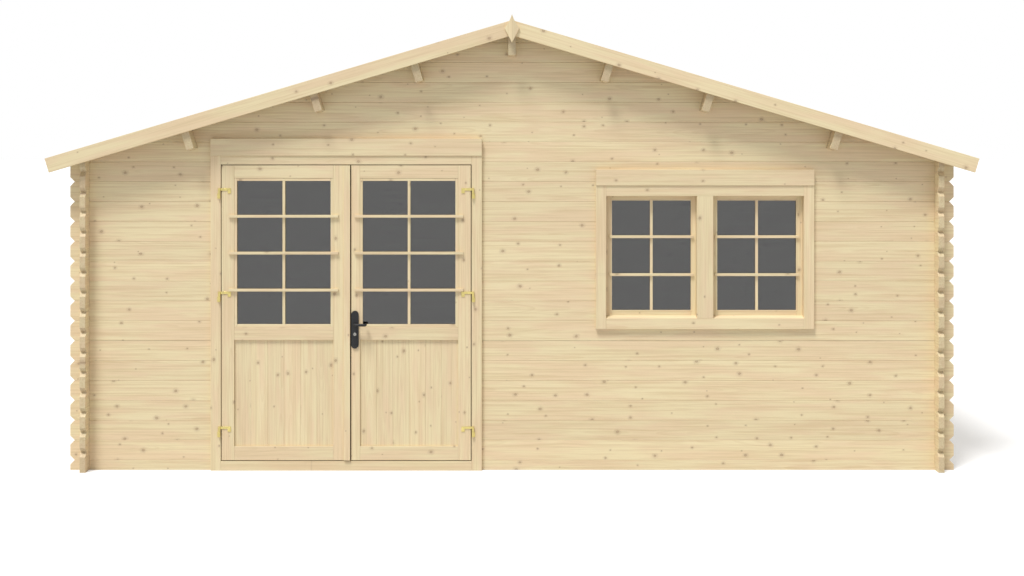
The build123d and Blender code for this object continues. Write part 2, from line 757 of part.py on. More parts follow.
def build_doors():
    """Both leaves, hung on the jambs to open outwards."""
    left = Leaf(
        "left_door",
        -1,
        FRAME_LEFT + DOOR_CLEARANCE,
        MEETING_X - MEETING_GAP / 2,
        LEFT_MEETING_STILE,
    )
    right = Leaf(
        "right_door",
        1,
        FRAME_RIGHT - DOOR_CLEARANCE,
        MEETING_X + MEETING_GAP / 2,
        RIGHT_MEETING_STILE,
    )
    for leaf in (left, right):
        build_leaf_frame(leaf)
        build_leaf_infill(leaf)
        build_leaf_hinges(leaf)
    build_frame_hinges((left, right))
    build_meeting_strip(left)
    build_lock(right)
    for leaf in (left, right):
        print(leaf.name, "hinge axis", round(leaf.hinge_x, 3), round(hinge_axis_y(), 3))


def build_window_frame(clear_x, clear_z, outer_top, bays):
    """Uprights, head and foot, with casings both sides of the wall and a sloped sill in each bay."""
    sill = SILL_LEVEL - WINDOW_SILL_LAP
    lap_x = (WINDOW_LEFT - CASING_LAP, WINDOW_RIGHT + CASING_LAP)
    web_x = (WINDOW_LEFT + SEAT, WINDOW_RIGHT - SEAT)
    with BuildPart() as window_frame:
        for depth, outer_x, outer_z in (
            ((CASING_FACE, WALL_FACE - SEAT), lap_x, (sill, outer_top - SEAT)),
            ((WALL_FACE - SEAT, WALL_BACK + SEAT), web_x, (SILL_LEVEL + SEAT, WINDOW_TOP - SEAT)),
            ((WALL_BACK + SEAT, CASING_BACK), lap_x, (sill, WINDOW_TOP + CASING_LAP)),
        ):
            frame_members(depth, (outer_x, outer_z), (clear_x, clear_z))
        back = SASH_FACE - SEAT
        slope = (
            (CASING_FACE, clear_z[0]),
            (back, clear_z[0]),
            (back, clear_z[0] + WINDOW_SILL_RISE),
        )
        for left, right in bays:
            with BuildSketch(Plane.YZ.offset(left)):
                with BuildLine():
                    Polyline(*slope, close=True)
                make_face()
            extrude(amount=right - left)
    save(window_frame, "window_frame")

    with BuildPart() as window_head_board:
        box_between(
            (lap_x[0], CASING_FACE, outer_top),
            (lap_x[1], WALL_FACE - SEAT, outer_top + WINDOW_HEAD_BOARD),
        )
    save(window_head_board, "window_head_board")

    with BuildPart() as window_mullion:
        box_between(
            (WINDOW_CENTRE - MULLION_WIDTH / 2, CASING_FACE, clear_z[0] + SEAT),
            (WINDOW_CENTRE + MULLION_WIDTH / 2, CASING_BACK, clear_z[1] - SEAT),
        )
    save(window_mullion, "window_mullion")


def build_window():
    """The window's frame, then a sash with its glass and bars on each side of the mullion."""
    clear_x = (WINDOW_LEFT + WEB, WINDOW_RIGHT - WEB)
    clear_low = SILL_LEVEL + WINDOW_FRAME_FOOT - WINDOW_SILL_LAP
    outer_top = WINDOW_TOP - WINDOW_HEAD_GAP
    clear_high = outer_top - WINDOW_FRAME_HEAD
    half_mullion = MULLION_WIDTH / 2 + SEAT
    bays = (
        (clear_x[0] + SEAT, WINDOW_CENTRE - half_mullion),
        (WINDOW_CENTRE + half_mullion, clear_x[1] - SEAT),
    )
    build_window_frame(clear_x, (clear_low, clear_high), outer_top, bays)

    panes_x = (
        (bays[0][0] + SASH_STILE, bays[0][1] - SASH_MEETING_STILE),
        (bays[1][0] + SASH_MEETING_STILE, bays[1][1] - SASH_STILE),
    )
    pane_z = (clear_low + SASH_FOOT, clear_high - SASH_HEAD)
    with BuildPart() as window_sashes:
        for bay, pane_x in zip(bays, panes_x):
            frame_members(
                (SASH_FACE, SASH_FACE + SASH_THICKNESS),
                (bay, (clear_low + SEAT, clear_high - SEAT)),
                (pane_x, pane_z),
            )
    save(window_sashes, "window_sashes")

    glass_face = SASH_FACE + (SASH_THICKNESS - GLASS_THICKNESS) / 2
    with BuildPart() as window_glass:
        for left, right in panes_x:
            box_between(
                (left + SEAT, glass_face, pane_z[0] + SEAT),
                (right - SEAT, glass_face + GLASS_THICKNESS, pane_z[1] - SEAT),
            )
    save(window_glass, "window_glass")

    bar_face = SASH_FACE - SEAT - BAR_PROUD
    with BuildPart() as window_bars:
        for left, right in panes_x:
            centre = (left + right) / 2
            box_between(
                (centre - BAR_WIDTH / 2, SASH_FACE, pane_z[0] + SEAT),
                (centre + BAR_WIDTH / 2, glass_face - SEAT, pane_z[1] - SEAT),
            )
            for level in WINDOW_BAR_LEVELS:
                box_between(
                    (left - SASH_BAR_LAP, bar_face, level - BAR_WIDTH / 2),
                    (right + SASH_BAR_LAP, SASH_FACE - SEAT, level + BAR_WIDTH / 2),
                )
    save(window_bars, "window_bars")


os.makedirs("parts", exist_ok=True)
build_front_wall()
build_gable("front_gable", -HALF_DEPTH)
build_gable("back_gable", HALF_DEPTH)
build_back_wall()
build_side_wall("left_wall", -1)
build_side_wall("right_wall", 1)
build_purlins()
build_roof()
build_bargeboards("front_bargeboards", -1)
build_bargeboards("back_bargeboards", 1)
build_finial("front_finial", -1)
build_finial("back_finial", 1)
build_floor()
build_door_frame()
build_doors()
build_window()
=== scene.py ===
"""Finishes for a log-board garden cabin: planed spruce, brass hinges, a dark lock and grey glass.

Metres, in the frame's axes: +X runs to the right along the front, +Y to the back and +Z up.
"""

import json
import math
import random

import bmesh
import bpy
import numpy as np
from bpy.props import FloatProperty, FloatVectorProperty, IntProperty, PointerProperty
from mathutils import Matrix, Vector

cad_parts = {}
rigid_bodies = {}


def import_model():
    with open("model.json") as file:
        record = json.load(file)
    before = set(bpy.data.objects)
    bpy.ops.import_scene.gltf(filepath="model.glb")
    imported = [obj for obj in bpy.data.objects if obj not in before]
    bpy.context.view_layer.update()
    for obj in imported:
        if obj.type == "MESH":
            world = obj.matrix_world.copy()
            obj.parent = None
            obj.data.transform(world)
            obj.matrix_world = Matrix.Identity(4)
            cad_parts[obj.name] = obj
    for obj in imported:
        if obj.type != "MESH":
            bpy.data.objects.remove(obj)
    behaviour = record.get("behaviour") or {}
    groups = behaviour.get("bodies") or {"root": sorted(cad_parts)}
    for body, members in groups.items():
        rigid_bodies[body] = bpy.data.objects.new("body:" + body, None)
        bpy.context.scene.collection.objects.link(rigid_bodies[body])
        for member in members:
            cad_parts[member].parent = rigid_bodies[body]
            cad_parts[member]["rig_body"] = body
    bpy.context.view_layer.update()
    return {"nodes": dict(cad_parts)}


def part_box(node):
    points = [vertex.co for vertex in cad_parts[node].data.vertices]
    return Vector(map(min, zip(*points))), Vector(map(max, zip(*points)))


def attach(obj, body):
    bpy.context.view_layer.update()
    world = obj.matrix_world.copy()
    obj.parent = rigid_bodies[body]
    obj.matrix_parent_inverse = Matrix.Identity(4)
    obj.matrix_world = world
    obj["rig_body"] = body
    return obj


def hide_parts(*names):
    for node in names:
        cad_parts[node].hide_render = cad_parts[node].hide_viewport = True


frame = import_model()

bl_info = {
    "name": "Log-board cabin finishes",
    "version": (1, 0, 0),
    "blender": (4, 5, 0),
    "location": "3D View > Sidebar > Cabin",
    "description": "Finishes a log-board garden cabin around its packed frame",
    "category": "Object",
}

# Meshes
MERGE_DISTANCE = 1e-5
FLAT_ANGLE = math.radians(1)
EDGE_ANGLE = math.radians(25)
LEAST_EDGE = 3
SMOOTH_ANGLE = math.radians(40)
ROUNDING_SEGMENTS = 2
METAL_SEGMENTS = 3
HEAD_SIDES = 32
BAR_SIDES = 24
TURN_STEPS = 8
DOME_STEPS = 7

# Grain
GRAIN_OFFSET = 60.0
PITH_SHIFT = 0.55
PITH_NEAR = 0.015
PITH_FAR = 0.075
END_GRAIN_COSINE = 0.6
KNOT_SPACING = (0.24, 0.062, 1.0)
KNOT_RADII = (0.0022, 0.0075)
KNOT_EDGE_SCALE = (90.0, 90.0, 0.0)

# Depths of the fine relief
WOOD_RELIEF = 0.0005
COAT_RELIEF = 0.0001
PLATE_RELIEF = 0.00004
GLASS_RELIEF = 0.0008

# Timbers and boards
WALLS = ("front_wall_left", "front_wall_right", "back_wall", "left_wall", "right_wall")
GABLES = ("front_gable", "back_gable")
LOG_BEVEL_LIMIT = 0.005
LOG_BEVEL_KEPT = 0.5
LOG_BEVEL_NORMAL = math.sqrt(0.5)
LOG_BEVEL_MARGIN = 0.02
FRONT_BAND = 1.5
NAIL_INSET = 0.3
RIDGE_NAIL_INSET = 1 / 3
FRAME_DIGITS = 5
HEAD_BOARD_PROUD = 0.006
BAR_SEAT = 0.0003
BEAD_WIDTH = 0.008
BEAD_PROUD = 0.0015
BEAD_ROUNDING = 0.00075

# Fittings
HINGE_ROUNDING = 0.0006
HINGE_END_WIDTH = 0.019
HINGE_PLATE = 0.003
HINGE_SCREW_SPREAD = 0.008
LOCK_ROUNDING = 0.0016
LEVER_TURN = 0.009
CYLINDER_WIDTH = 0.0182
CYLINDER_TIP = 1e-4
KEYWAY = (0.62, 0.12)
SCREW_CROSS = (0.16, 0.6)

# Stage
EYE_HEIGHT = 1.871
EYE_DISTANCE = 10.392
LENS = 50.0
SENSOR = 36.0
LENS_SHIFT = -0.1328
SUN_DIRECTION = (0.7, 1.0, -2.45)
FLOOR_REACH = 300.0
VIEW_REACH = 1200.0

# Metals: name, least and most roughness, scale and depth of the relief, metallic share and gloss
METALS = {
    "brass": ("Brass plate", 0.22, 0.42, 900.0, PLATE_RELIEF, 1.0, 0.5),
    "coat": ("Powder coat", 0.42, 0.6, 2600.0, COAT_RELIEF, 0.0, 0.3),
    "zinc": ("Zinc plate", 0.3, 0.55, 1400.0, PLATE_RELIEF, 1.0, 0.5),
}

# Sockets of the node groups
FINISH_OUTPUTS = {"Color": "Color", "Roughness": "Float", "Height": "Float"}
GEOMETRY = {"Geometry": "Geometry"}


def colour_setting(name, description, default):
    """A colour."""
    return FloatVectorProperty(
        name=name, description=description, subtype="COLOR", min=0, max=1, default=default
    )


def number_setting(name, description, low, high, default, **traits):
    """A number between two limits."""
    return FloatProperty(
        name=name, description=description, min=low, max=high, default=default, **traits
    )


def length_setting(name, description, low, high, default):
    """A length between two limits."""
    return number_setting(name, description, low, high, default, unit="LENGTH")


def share_setting(name, description, default):
    """A share between nought and one."""
    return number_setting(name, description, 0, 1, default, subtype="FACTOR")


class TimberSettings(bpy.types.PropertyGroup):
    """Colours and grain of the planed spruce."""

    early_wood: colour_setting(
        "Early wood", "Pale wood between the growth lines", (0.80, 0.69, 0.43)
    )
    late_wood: colour_setting("Late wood", "Growth lines", (0.64, 0.49, 0.28))
    blush: colour_setting("Blush", "Pinkish patches of heartwood", (0.775, 0.59, 0.385))
    knot_wood: colour_setting("Knots", "Darkest wood, in the knots", (0.31, 0.20, 0.12))
    ring_width: length_setting(
        "Ring width", "Distance between two growth lines", 0.001, 0.01, 0.0034
    )
    knot_share: share_setting("Knot share", "Share of the places for a knot that have one", 0.62)
    rounding: length_setting(
        "Edge rounding", "Radius on the edges of every timber", 0, 0.003, 0.0012
    )
    seed: IntProperty(name="Seed", description="Changes the grain of every timber", default=7)


class BoardingSettings(bpy.types.PropertyGroup):
    """Sizes of the boards and nails that the frame leaves plain."""

    board_width: length_setting(
        "Board width", "About what one board of the roof, floor or door panels covers", 0.06, 0.2, 0.096
    )
    board_gap: length_setting("Gap", "Open joint between two boards", 0, 0.004, 0.0003)
    board_rounding: length_setting(
        "Joint bevel", "Bevel on the long edges of the boards", 0, 0.004, 0.001
    )
    nail_radius: length_setting("Nail head", "Radius of a nail's head", 0.001, 0.01, 0.0032)


class FittingSettings(bpy.types.PropertyGroup):
    """Colours of the metal and the glass."""

    brass: colour_setting("Brass", "Plated hinges", (0.66, 0.55, 0.21))
    coat: colour_setting(
        "Lock coat", "Powder coat on the lock plates and levers", (0.020, 0.020, 0.021)
    )
    zinc: colour_setting(
        "Zinc", "Dull plating on the nails and the lock cylinders", (0.36, 0.35, 0.32)
    )
    glass: colour_setting("Glass", "Tint of the panes", (0.28, 0.28, 0.26))
    reflectance: number_setting(
        "Glass index",
        "Refractive index of the coated panes, which sets how much they reflect",
        1.3,
        2.5,
        1.75,
    )
    screw_radius: length_setting(
        "Screw head", "Radius of a hinge screw's head", 0.001, 0.01, 0.0036
    )


class StageSettings(bpy.types.PropertyGroup):
    """Light and floor."""

    sky: number_setting("Sky", "Strength of the soft light all round", 0, 3, 0.53)
    sun: number_setting("Sun", "Strength of the light from the front left", 0, 9, 3.0)
    sun_spread: number_setting(
        "Sun spread",
        "Apparent size of the sun, which softens its shadows",
        0,
        1,
        math.radians(16),
        subtype="ANGLE",
    )
    floor: share_setting("Floor", "Brightness of the floor to the camera", 0.62)
    bounce: share_setting("Bounce", "Brightness of the floor where it lights the cabin", 0.55)
    glow: share_setting(
        "Floor glow", "White added to the floor where it is seen, which keeps its shadows soft", 0.38
    )


class CabinSettings(bpy.types.PropertyGroup):
    """All the settings of the cabin."""

    timber: PointerProperty(type=TimberSettings)
    boarding: PointerProperty(type=BoardingSettings)
    fittings: PointerProperty(type=FittingSettings)
    stage: PointerProperty(type=StageSettings)


def settings():
    """The cabin's settings in the scene."""
    return bpy.context.scene.cabin


class Graph:
    """Adds nodes to a tree and joins them."""

    def __init__(self, tree):
        self.tree = tree

    def feed(self, socket, value):
        """Join an output to a socket, or set the socket's own value."""
        if isinstance(value, bpy.types.NodeSocket):
            self.tree.links.new(value, socket)
        else:
            socket.default_value = value

    def add(self, kind, inputs=None, **traits):
        """A new node with these traits and inputs, which are given by name or number."""
        node = self.tree.nodes.new(kind)
        for name, value in traits.items():
            setattr(node, name, value)
        for name, value in (inputs or {}).items():
            self.feed(node.inputs[name], value)
        return node

    def made(self, kind, inputs=None, **traits):
        """The first output of a new node."""
        return self.add(kind, inputs, **traits).outputs[0]

    def math(self, operation, *values):
        """The result of arithmetic on numbers."""
        return self.made("ShaderNodeMath", dict(enumerate(values)), operation=operation)

    def times(self, first, *others):
        """The product of numbers."""
        for other in others:
            first = self.math("MULTIPLY", first, other)
        return first

    def plus(self, first, *others):
        """The sum of numbers."""
        for other in others:
            first = self.math("ADD", first, other)
        return first

    def minus(self, first, second):
        """The difference of two numbers."""
        return self.math("SUBTRACT", first, second)

    def vector(self, operation, *values):
        """The result of arithmetic on vectors."""
        node = self.add("ShaderNodeVectorMath", dict(enumerate(values)), operation=operation)
        return node.outputs["Value" if operation == "LENGTH" else "Vector"]

    def combine(self, x=0.0, y=0.0, z=0.0):
        """A vector from three numbers."""
        return self.made("ShaderNodeCombineXYZ", {"X": x, "Y": y, "Z": z})

    def even(self, value):
        """A vector or a grey with three equal parts."""
        return self.combine(value, value, value)

    def separate(self, vector):
        """The three numbers of a vector."""
        return self.add("ShaderNodeSeparateXYZ", {"Vector": vector}).outputs

    def noise(self, vector, detail=2.0, roughness=0.5, output="Fac"):
        """A noise texture at a scale of one."""
        inputs = {"Vector": vector, "Scale": 1.0, "Detail": detail, "Roughness": roughness}
        return self.add("ShaderNodeTexNoise", inputs).outputs[output]

    def ease(self, value, start, end, low=0.0, high=1.0):
        """A smooth step from low at start to high at end."""
        return self.made(
            "ShaderNodeMapRange",
            {"Value": value, "From Min": start, "From Max": end, "To Min": low, "To Max": high},
            interpolation_type="SMOOTHSTEP",
        )

    def blend(self, factor, first, second, mode="MIX"):
        """Two colours blended."""
        inputs = {0: factor, 6: first, 7: second}
        return self.add("ShaderNodeMix", inputs, data_type="RGBA", blend_type=mode).outputs[2]


def sockets(**kinds):
    """The kind of each socket by its name, from the names of each kind."""
    return {name: kind for kind, names in kinds.items() for name in names}


def new_tree(name, family, inputs, outputs):
    """An empty node group with these sockets, its graph and the sockets that bring its inputs."""
    tree = bpy.data.node_groups.new(name, family)
    for in_out, kinds in (("INPUT", inputs), ("OUTPUT", outputs)):
        for label, kind in kinds.items():
            tree.interface.new_socket(label, in_out=in_out, socket_type="NodeSocket" + kind)
    graph = Graph(tree)
    return tree, graph, graph.add("NodeGroupInput").outputs


def stretched(graph, grain, along, across):
    """Grain coordinates scaled along and across the grain."""
    return graph.vector("MULTIPLY", grain, (along, across, across))


def knot_field(graph, u, v, share):
    """Knots that run through a timber: offset across the grain, mask, halo and distance."""
    face = graph.combine(u, v)
    cell = graph.vector("DIVIDE", face, KNOT_SPACING)
    voronoi = graph.add(
        "ShaderNodeTexVoronoi",
        {"Vector": cell, "Scale": 1.0, "Randomness": 0.9},
        voronoi_dimensions="2D",
    )
    offset = graph.vector("SUBTRACT", cell, voronoi.outputs["Position"])
    along, across, _ = graph.separate(graph.vector("MULTIPLY", offset, KNOT_SPACING))
    chance, size, _ = graph.separate(voronoi.outputs["Color"])
    present = graph.math("LESS_THAN", chance, share)
    uneven = graph.noise(graph.vector("MULTIPLY", face, KNOT_EDGE_SCALE))
    distance = graph.vector("LENGTH", graph.combine(graph.times(along, 0.8), across))
    distance = graph.times(distance, graph.ease(uneven, 0.2, 0.8, 0.8, 1.25))
    ratio = graph.math("DIVIDE", distance, graph.ease(size, 0.0, 1.0, *KNOT_RADII))
    mask = graph.times(graph.ease(ratio, 1.1, 0.75), present)
    halo = graph.times(graph.ease(ratio, 3.2, 0.8), present)
    return across, mask, halo, ratio


def spruce_group():
    """Spruce as a solid: growth rings round a pith, fibres, knots and patches of colour."""
    tree, graph, given = new_tree(
        "Spruce",
        "ShaderNodeTree",
        sockets(
            Vector=["Grain"],
            Float=["Tone", "End", "Ring width", "Knot share", "Contrast", "Variation"],
            Color=["Early wood", "Late wood", "Blush", "Knot wood"],
        ),
        FINISH_OUTPUTS,
    )
    grain = given["Grain"]
    u, v, w = graph.separate(grain)
    across, knot, halo, ratio = knot_field(graph, u, v, given["Knot share"])

    wander = graph.noise(stretched(graph, grain, 0.8, 3.0), output="Color")
    drift_v, drift_w, _ = graph.separate(graph.vector("SUBTRACT", wander, (0.5, 0.5, 0.5)))
    pith_v = graph.minus(v, graph.times(across, halo, 0.7))
    pith_v = graph.plus(pith_v, graph.times(drift_v, 0.05))
    pith_w = graph.plus(w, graph.times(drift_w, 0.05))
    radius = graph.vector("LENGTH", graph.combine(pith_v, pith_w))
    phase = graph.math("DIVIDE", radius, given["Ring width"])
    year = graph.math("FRACT", phase)
    season = graph.noise(graph.combine(graph.times(phase, 0.45)), 1.0)
    late = graph.times(
        graph.ease(year, 0.35, 0.9),
        graph.ease(year, 1.0, 0.93),
        graph.ease(season, 0.3, 0.7, 0.25, 1.0),
    )

    fibre = graph.noise(stretched(graph, grain, 6.0, 420.0), 2.0, 0.6)
    streak = graph.noise(stretched(graph, grain, 1.8, 100.0), 3.0, 0.7)
    patch = graph.noise(stretched(graph, grain, 2.2, 13.0), 2.0, 0.6)

    lines = graph.plus(
        graph.times(late, 0.5),
        graph.ease(streak, 0.42, 0.66, 0.0, 0.95),
        graph.times(given["End"], 0.25),
    )
    ground = graph.blend(
        graph.ease(patch, 0.38, 0.64, 0.1, 0.8), given["Early wood"], given["Blush"]
    )
    colour = graph.blend(graph.times(lines, given["Contrast"]), ground, given["Late wood"])
    tone = graph.minus(given["Tone"], 0.5)
    shade = graph.times(
        graph.math("MULTIPLY_ADD", fibre, 0.10, 0.95),
        graph.math("MULTIPLY_ADD", tone, given["Variation"], 1.0),
        graph.math("MULTIPLY_ADD", given["End"], -0.16, 1.0),
    )
    colour = graph.blend(1.0, colour, graph.even(shade), "MULTIPLY")
    colour = graph.blend(graph.times(halo, 0.26), colour, given["Knot wood"])
    heart = graph.times(knot, graph.ease(ratio, 0.0, 0.9, 0.36, 0.62))
    colour = graph.blend(heart, colour, given["Knot wood"])

    rough = graph.minus(graph.math("MULTIPLY_ADD", fibre, 0.18, 0.5), graph.times(knot, 0.12))
    height = graph.minus(graph.times(fibre, 0.5), graph.times(late, 0.35))
    height = graph.plus(height, graph.times(knot, 0.8))
    graph.add("NodeGroupOutput", {"Color": colour, "Roughness": rough, "Height": height})
    return tree


def wear_group():
    """Fine unevenness of a metal finish: smears, pits and a colour that varies a little."""
    tree, graph, given = new_tree(
        "Metal finish",
        "ShaderNodeTree",
        sockets(Color=["Colour"], Float=["Smooth", "Rough", "Scale"]),
        FINISH_OUTPUTS,
    )
    place = graph.add("ShaderNodeTexCoord").outputs["Object"]
    scaled = graph.vector("MULTIPLY", place, graph.even(given["Scale"]))
    smear = graph.noise(graph.vector("MULTIPLY", scaled, (0.08, 0.08, 0.03)), 4.0, 0.6)
    shade = graph.even(graph.ease(smear, 0.3, 0.7, 0.86, 1.06))
    colour = graph.blend(1.0, given["Colour"], shade, "MULTIPLY")
    spread = graph.minus(given["Rough"], given["Smooth"])
    rough = graph.math("MULTIPLY_ADD", smear, spread, given["Smooth"])
    pits = graph.noise(scaled)
    graph.add("NodeGroupOutput", {"Color": colour, "Roughness": rough, "Height": pits})
    return tree


def cached(collection, name, build):
    """The data of this name, built the first time that it is asked for."""
    return collection.get(name) or build()


def new_material(name, inputs=None):
    """An empty material with its graph and its shader, whose sockets hold these values."""
    material = bpy.data.materials.new(name)
    material.use_nodes = True
    material.node_tree.nodes.clear()
    graph = Graph(material.node_tree)
    shader = graph.add("ShaderNodeBsdfPrincipled", inputs)
    graph.add("ShaderNodeOutputMaterial", {"Surface": shader.outputs[0]})
    return material, graph, shader


def finish_material(name, group, values, relief, inputs=None):
    """A material whose colour, roughness and relief come from a finish group, and its group node."""
    material, graph, shader = new_material(name, inputs)
    finish = graph.add("ShaderNodeGroup", values, node_tree=group)
    bump = graph.add("ShaderNodeBump", {"Height": finish.outputs["Height"], "Distance": relief})
    graph.feed(shader.inputs["Base Color"], finish.outputs["Color"])
    graph.feed(shader.inputs["Roughness"], finish.outputs["Roughness"])
    graph.feed(shader.inputs["Normal"], bump.outputs["Normal"])
    return material, graph, finish


def spruce_material(name, brightness=1.0, contrast=0.6, ring_scale=1.0, variation=0.07):
    """Planed spruce that follows each timber's own grain."""

    def build():
        timber = settings().timber
        values = {
            "Ring width": timber.ring_width * ring_scale,
            "Knot share": timber.knot_share,
            "Contrast": contrast,
            "Variation": variation,
        }
        for label, colour in (
            ("Early wood", timber.early_wood),
            ("Late wood", timber.late_wood),
            ("Blush", timber.blush),
            ("Knot wood", timber.knot_wood),
        ):
            values[label] = (*[c * brightness for c in colour], 1.0)
        group = cached(bpy.data.node_groups, "Spruce", spruce_group)
        material, graph, finish = finish_material(name, group, values, WOOD_RELIEF)
        for label, attribute, output in (
            ("Grain", "grain", "Vector"), ("Tone", "tone", "Fac"), ("End", "end_grain", "Fac")
        ):
            source = graph.add("ShaderNodeAttribute", attribute_name=attribute)
            graph.feed(finish.inputs[label], source.outputs[output])
        return material

    return cached(bpy.data.materials, name, build)


def joinery_spruce():
    """Spruce with fine rings, for the door and the window."""
    return spruce_material("Joinery spruce", contrast=0.5, ring_scale=0.8)


def metal_material(kind):
    """A metal or a coat on metal, with fine unevenness."""
    name, smooth, rough, scale, relief, metallic, gloss = METALS[kind]

    def build():
        colour = (*getattr(settings().fittings, kind), 1.0)
        values = {"Colour": colour, "Smooth": smooth, "Rough": rough, "Scale": scale}
        group = cached(bpy.data.node_groups, "Metal finish", wear_group)
        inputs = {"Metallic": metallic, "Specular IOR Level": gloss}
        return finish_material(name, group, values, relief, inputs)[0]

    return cached(bpy.data.materials, name, build)


def glass_material():
    """Grey window glass."""

    def build():
        fittings = settings().fittings
        material, graph, shader = new_material(
            "Grey glass",
            {
                "Base Color": (*fittings.glass, 1.0),
                "Roughness": 0.02,
                "IOR": fittings.reflectance,
                "Transmission Weight": 1.0,
            },
        )
        place = graph.add("ShaderNodeTexCoord").outputs["Object"]
        wave = graph.noise(graph.vector("MULTIPLY", place, (2.2, 2.2, 3.1)), 1.0)
        bump = graph.made("ShaderNodeBump", {"Height": wave, "Distance": GLASS_RELIEF})
        graph.feed(shader.inputs["Normal"], bump)
        return material

    return cached(bpy.data.materials, "Grey glass", build)


def new_object(name, data):
    """An object in the scene, at the origin."""
    piece = bpy.data.objects.new(name, data)
    bpy.context.scene.collection.objects.link(piece)
    return piece


def new_mesh(name, shape):
    """A mesh from a bmesh, which is freed."""
    mesh = bpy.data.meshes.new(name)
    shape.to_mesh(mesh)
    shape.free()
    return mesh


def round_edges(shape, radius, segments):
    """Round the sharp edges of a bmesh that are long enough for it."""
    edges = [
        edge
        for edge in shape.edges
        if edge.is_manifold
        and edge.calc_face_angle() > EDGE_ANGLE
        and edge.calc_length() > LEAST_EDGE * radius
    ]
    if edges and radius > 0:
        bmesh.ops.bevel(
            shape,
            geom=edges,
            offset=radius,
            offset_type="OFFSET",
            segments=segments,
            profile=0.5,
            affect="EDGES",
            clamp_overlap=False,
        )


def narrow_bevels(shape, kept):
    """Keep this share of the small bevels that face halfway up, along the joints of logs."""
    moves = {}
    for face in shape.faces:
        heights = [vertex.co.z for vertex in face.verts]
        low, high = min(heights), max(heights)
        slant = abs(face.normal.z - LOG_BEVEL_NORMAL)
        if slant > LOG_BEVEL_MARGIN or high - low > LOG_BEVEL_LIMIT:
            continue
        outwards = Vector((face.normal.x, face.normal.y, 0)).normalized()
        for vertex in face.verts:
            way = outwards if vertex.co.z > (low + high) / 2 else Vector((0, 0, 1))
            moves[vertex] = way * (1 - kept) * (high - low)
    for vertex, move in moves.items():
        vertex.co += move


def rounded_copy(node, radius, segments=ROUNDING_SEGMENTS, bevel_kept=1.0):
    """A merged copy of a CAD node's mesh, with its flat faces rejoined and its edges rounded."""
    shape = bmesh.new()
    shape.from_mesh(frame["nodes"][node].data)
    bmesh.ops.remove_doubles(shape, verts=shape.verts, dist=MERGE_DISTANCE)
    bmesh.ops.dissolve_limit(shape, angle_limit=FLAT_ANGLE, verts=shape.verts, edges=shape.edges)
    narrow_bevels(shape, bevel_kept)
    round_edges(shape, radius, segments)
    return new_mesh(node + "_finished", shape)


def timbers(mesh):
    """For each separate timber of a mesh, the numbers of its vertices, edges and faces."""
    parent = list(range(len(mesh.vertices)))

    def root(index):
        while parent[index] != index:
            parent[index] = parent[parent[index]]
            index = parent[index]
        return index

    edges = [tuple(edge.vertices) for edge in mesh.edges]
    for first, second in edges:
        parent[root(first)] = root(second)
    groups = {}
    for index in range(len(parent)):
        groups.setdefault(root(index), ([], [], []))[0].append(index)
    for index, (first, _) in enumerate(edges):
        groups[root(first)][1].append(index)
    for face in mesh.polygons:
        groups[root(face.vertices[0])][2].append(face.index)
    return list(groups.values())


def timber_axes(mesh, edges, faces):
    """Directions along, across and through a timber: its longest edge and its largest face."""
    ends = [mesh.edges[index].vertices for index in edges]
    spans = [mesh.vertices[b].co - mesh.vertices[a].co for a, b in ends]
    along = max(spans, key=lambda span: span.length).normalized()
    largest = max((mesh.polygons[index] for index in faces), key=lambda face: face.area)
    through = largest.normal.copy()
    through = (through - along * through.dot(along)).normalized()
    return along, through.cross(along).normalized(), through


def store_grain(mesh, seed):
    """Give each timber of a mesh its own grain direction, pith and tone, as attributes."""
    draw = random.Random(seed)
    count = len(mesh.vertices)
    places = np.empty(count * 3)
    mesh.vertices.foreach_get("co", places)
    places = places.reshape(-1, 3)
    grain = np.zeros((count, 3))
    tone = np.zeros(count)
    end = np.zeros(len(mesh.polygons))
    for vertices, edges, faces in timbers(mesh):
        along, across, through = timber_axes(mesh, edges, faces)
        axes = np.array((along, across, through))
        local = places[vertices] @ axes.T
        low, high = local.min(0), local.max(0)
        size = high - low
        pith_side = draw.choice((-1, 1))
        pith = (
            -draw.uniform(0, GRAIN_OFFSET),
            draw.uniform(-PITH_SHIFT, PITH_SHIFT) * size[1],
            pith_side * (size[2] / 2 + draw.uniform(PITH_NEAR, PITH_FAR)),
        )
        grain[vertices] = local - (low + high) / 2 - np.array(pith)
        tone[vertices] = draw.random()
        for index in faces:
            end[index] = abs(mesh.polygons[index].normal.dot(along)) > END_GRAIN_COSINE
    for name, kind, domain, key, values in (
        ("grain", "FLOAT_VECTOR", "POINT", "vector", grain),
        ("tone", "FLOAT", "POINT", "value", tone),
        ("end_grain", "FLOAT", "FACE", "value", end),
    ):
        attribute = mesh.attributes.new(name, kind, domain)
        attribute.data.foreach_set(key, values.ravel().astype(np.float32))


def finish_piece(piece, body, material, slot, *nodes):
    """Paint a piece, let it ride on its body and let it stand for its CAD nodes."""
    piece.data.materials.clear()
    piece.data.materials.append(material)
    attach(piece, body)
    if nodes:
        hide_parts(*nodes)


def dress_timber(node, material, slot, proud=0.0, bevel_kept=1.0):
    """Stand a rounded copy with its own grain in for a wooden CAD node, its front drawn out."""
    timber = settings().timber
    mesh = rounded_copy(node, timber.rounding, bevel_kept=bevel_kept)
    if proud:
        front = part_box(node)[0].y + FRONT_BAND * timber.rounding
        for vertex in mesh.vertices:
            if vertex.co.y < front:
                vertex.co.y -= proud
    store_grain(mesh, timber.seed + sum(map(ord, node)))
    piece = new_object(node + "_timber", mesh)
    finish_piece(piece, frame["nodes"][node]["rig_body"], material, slot, node)


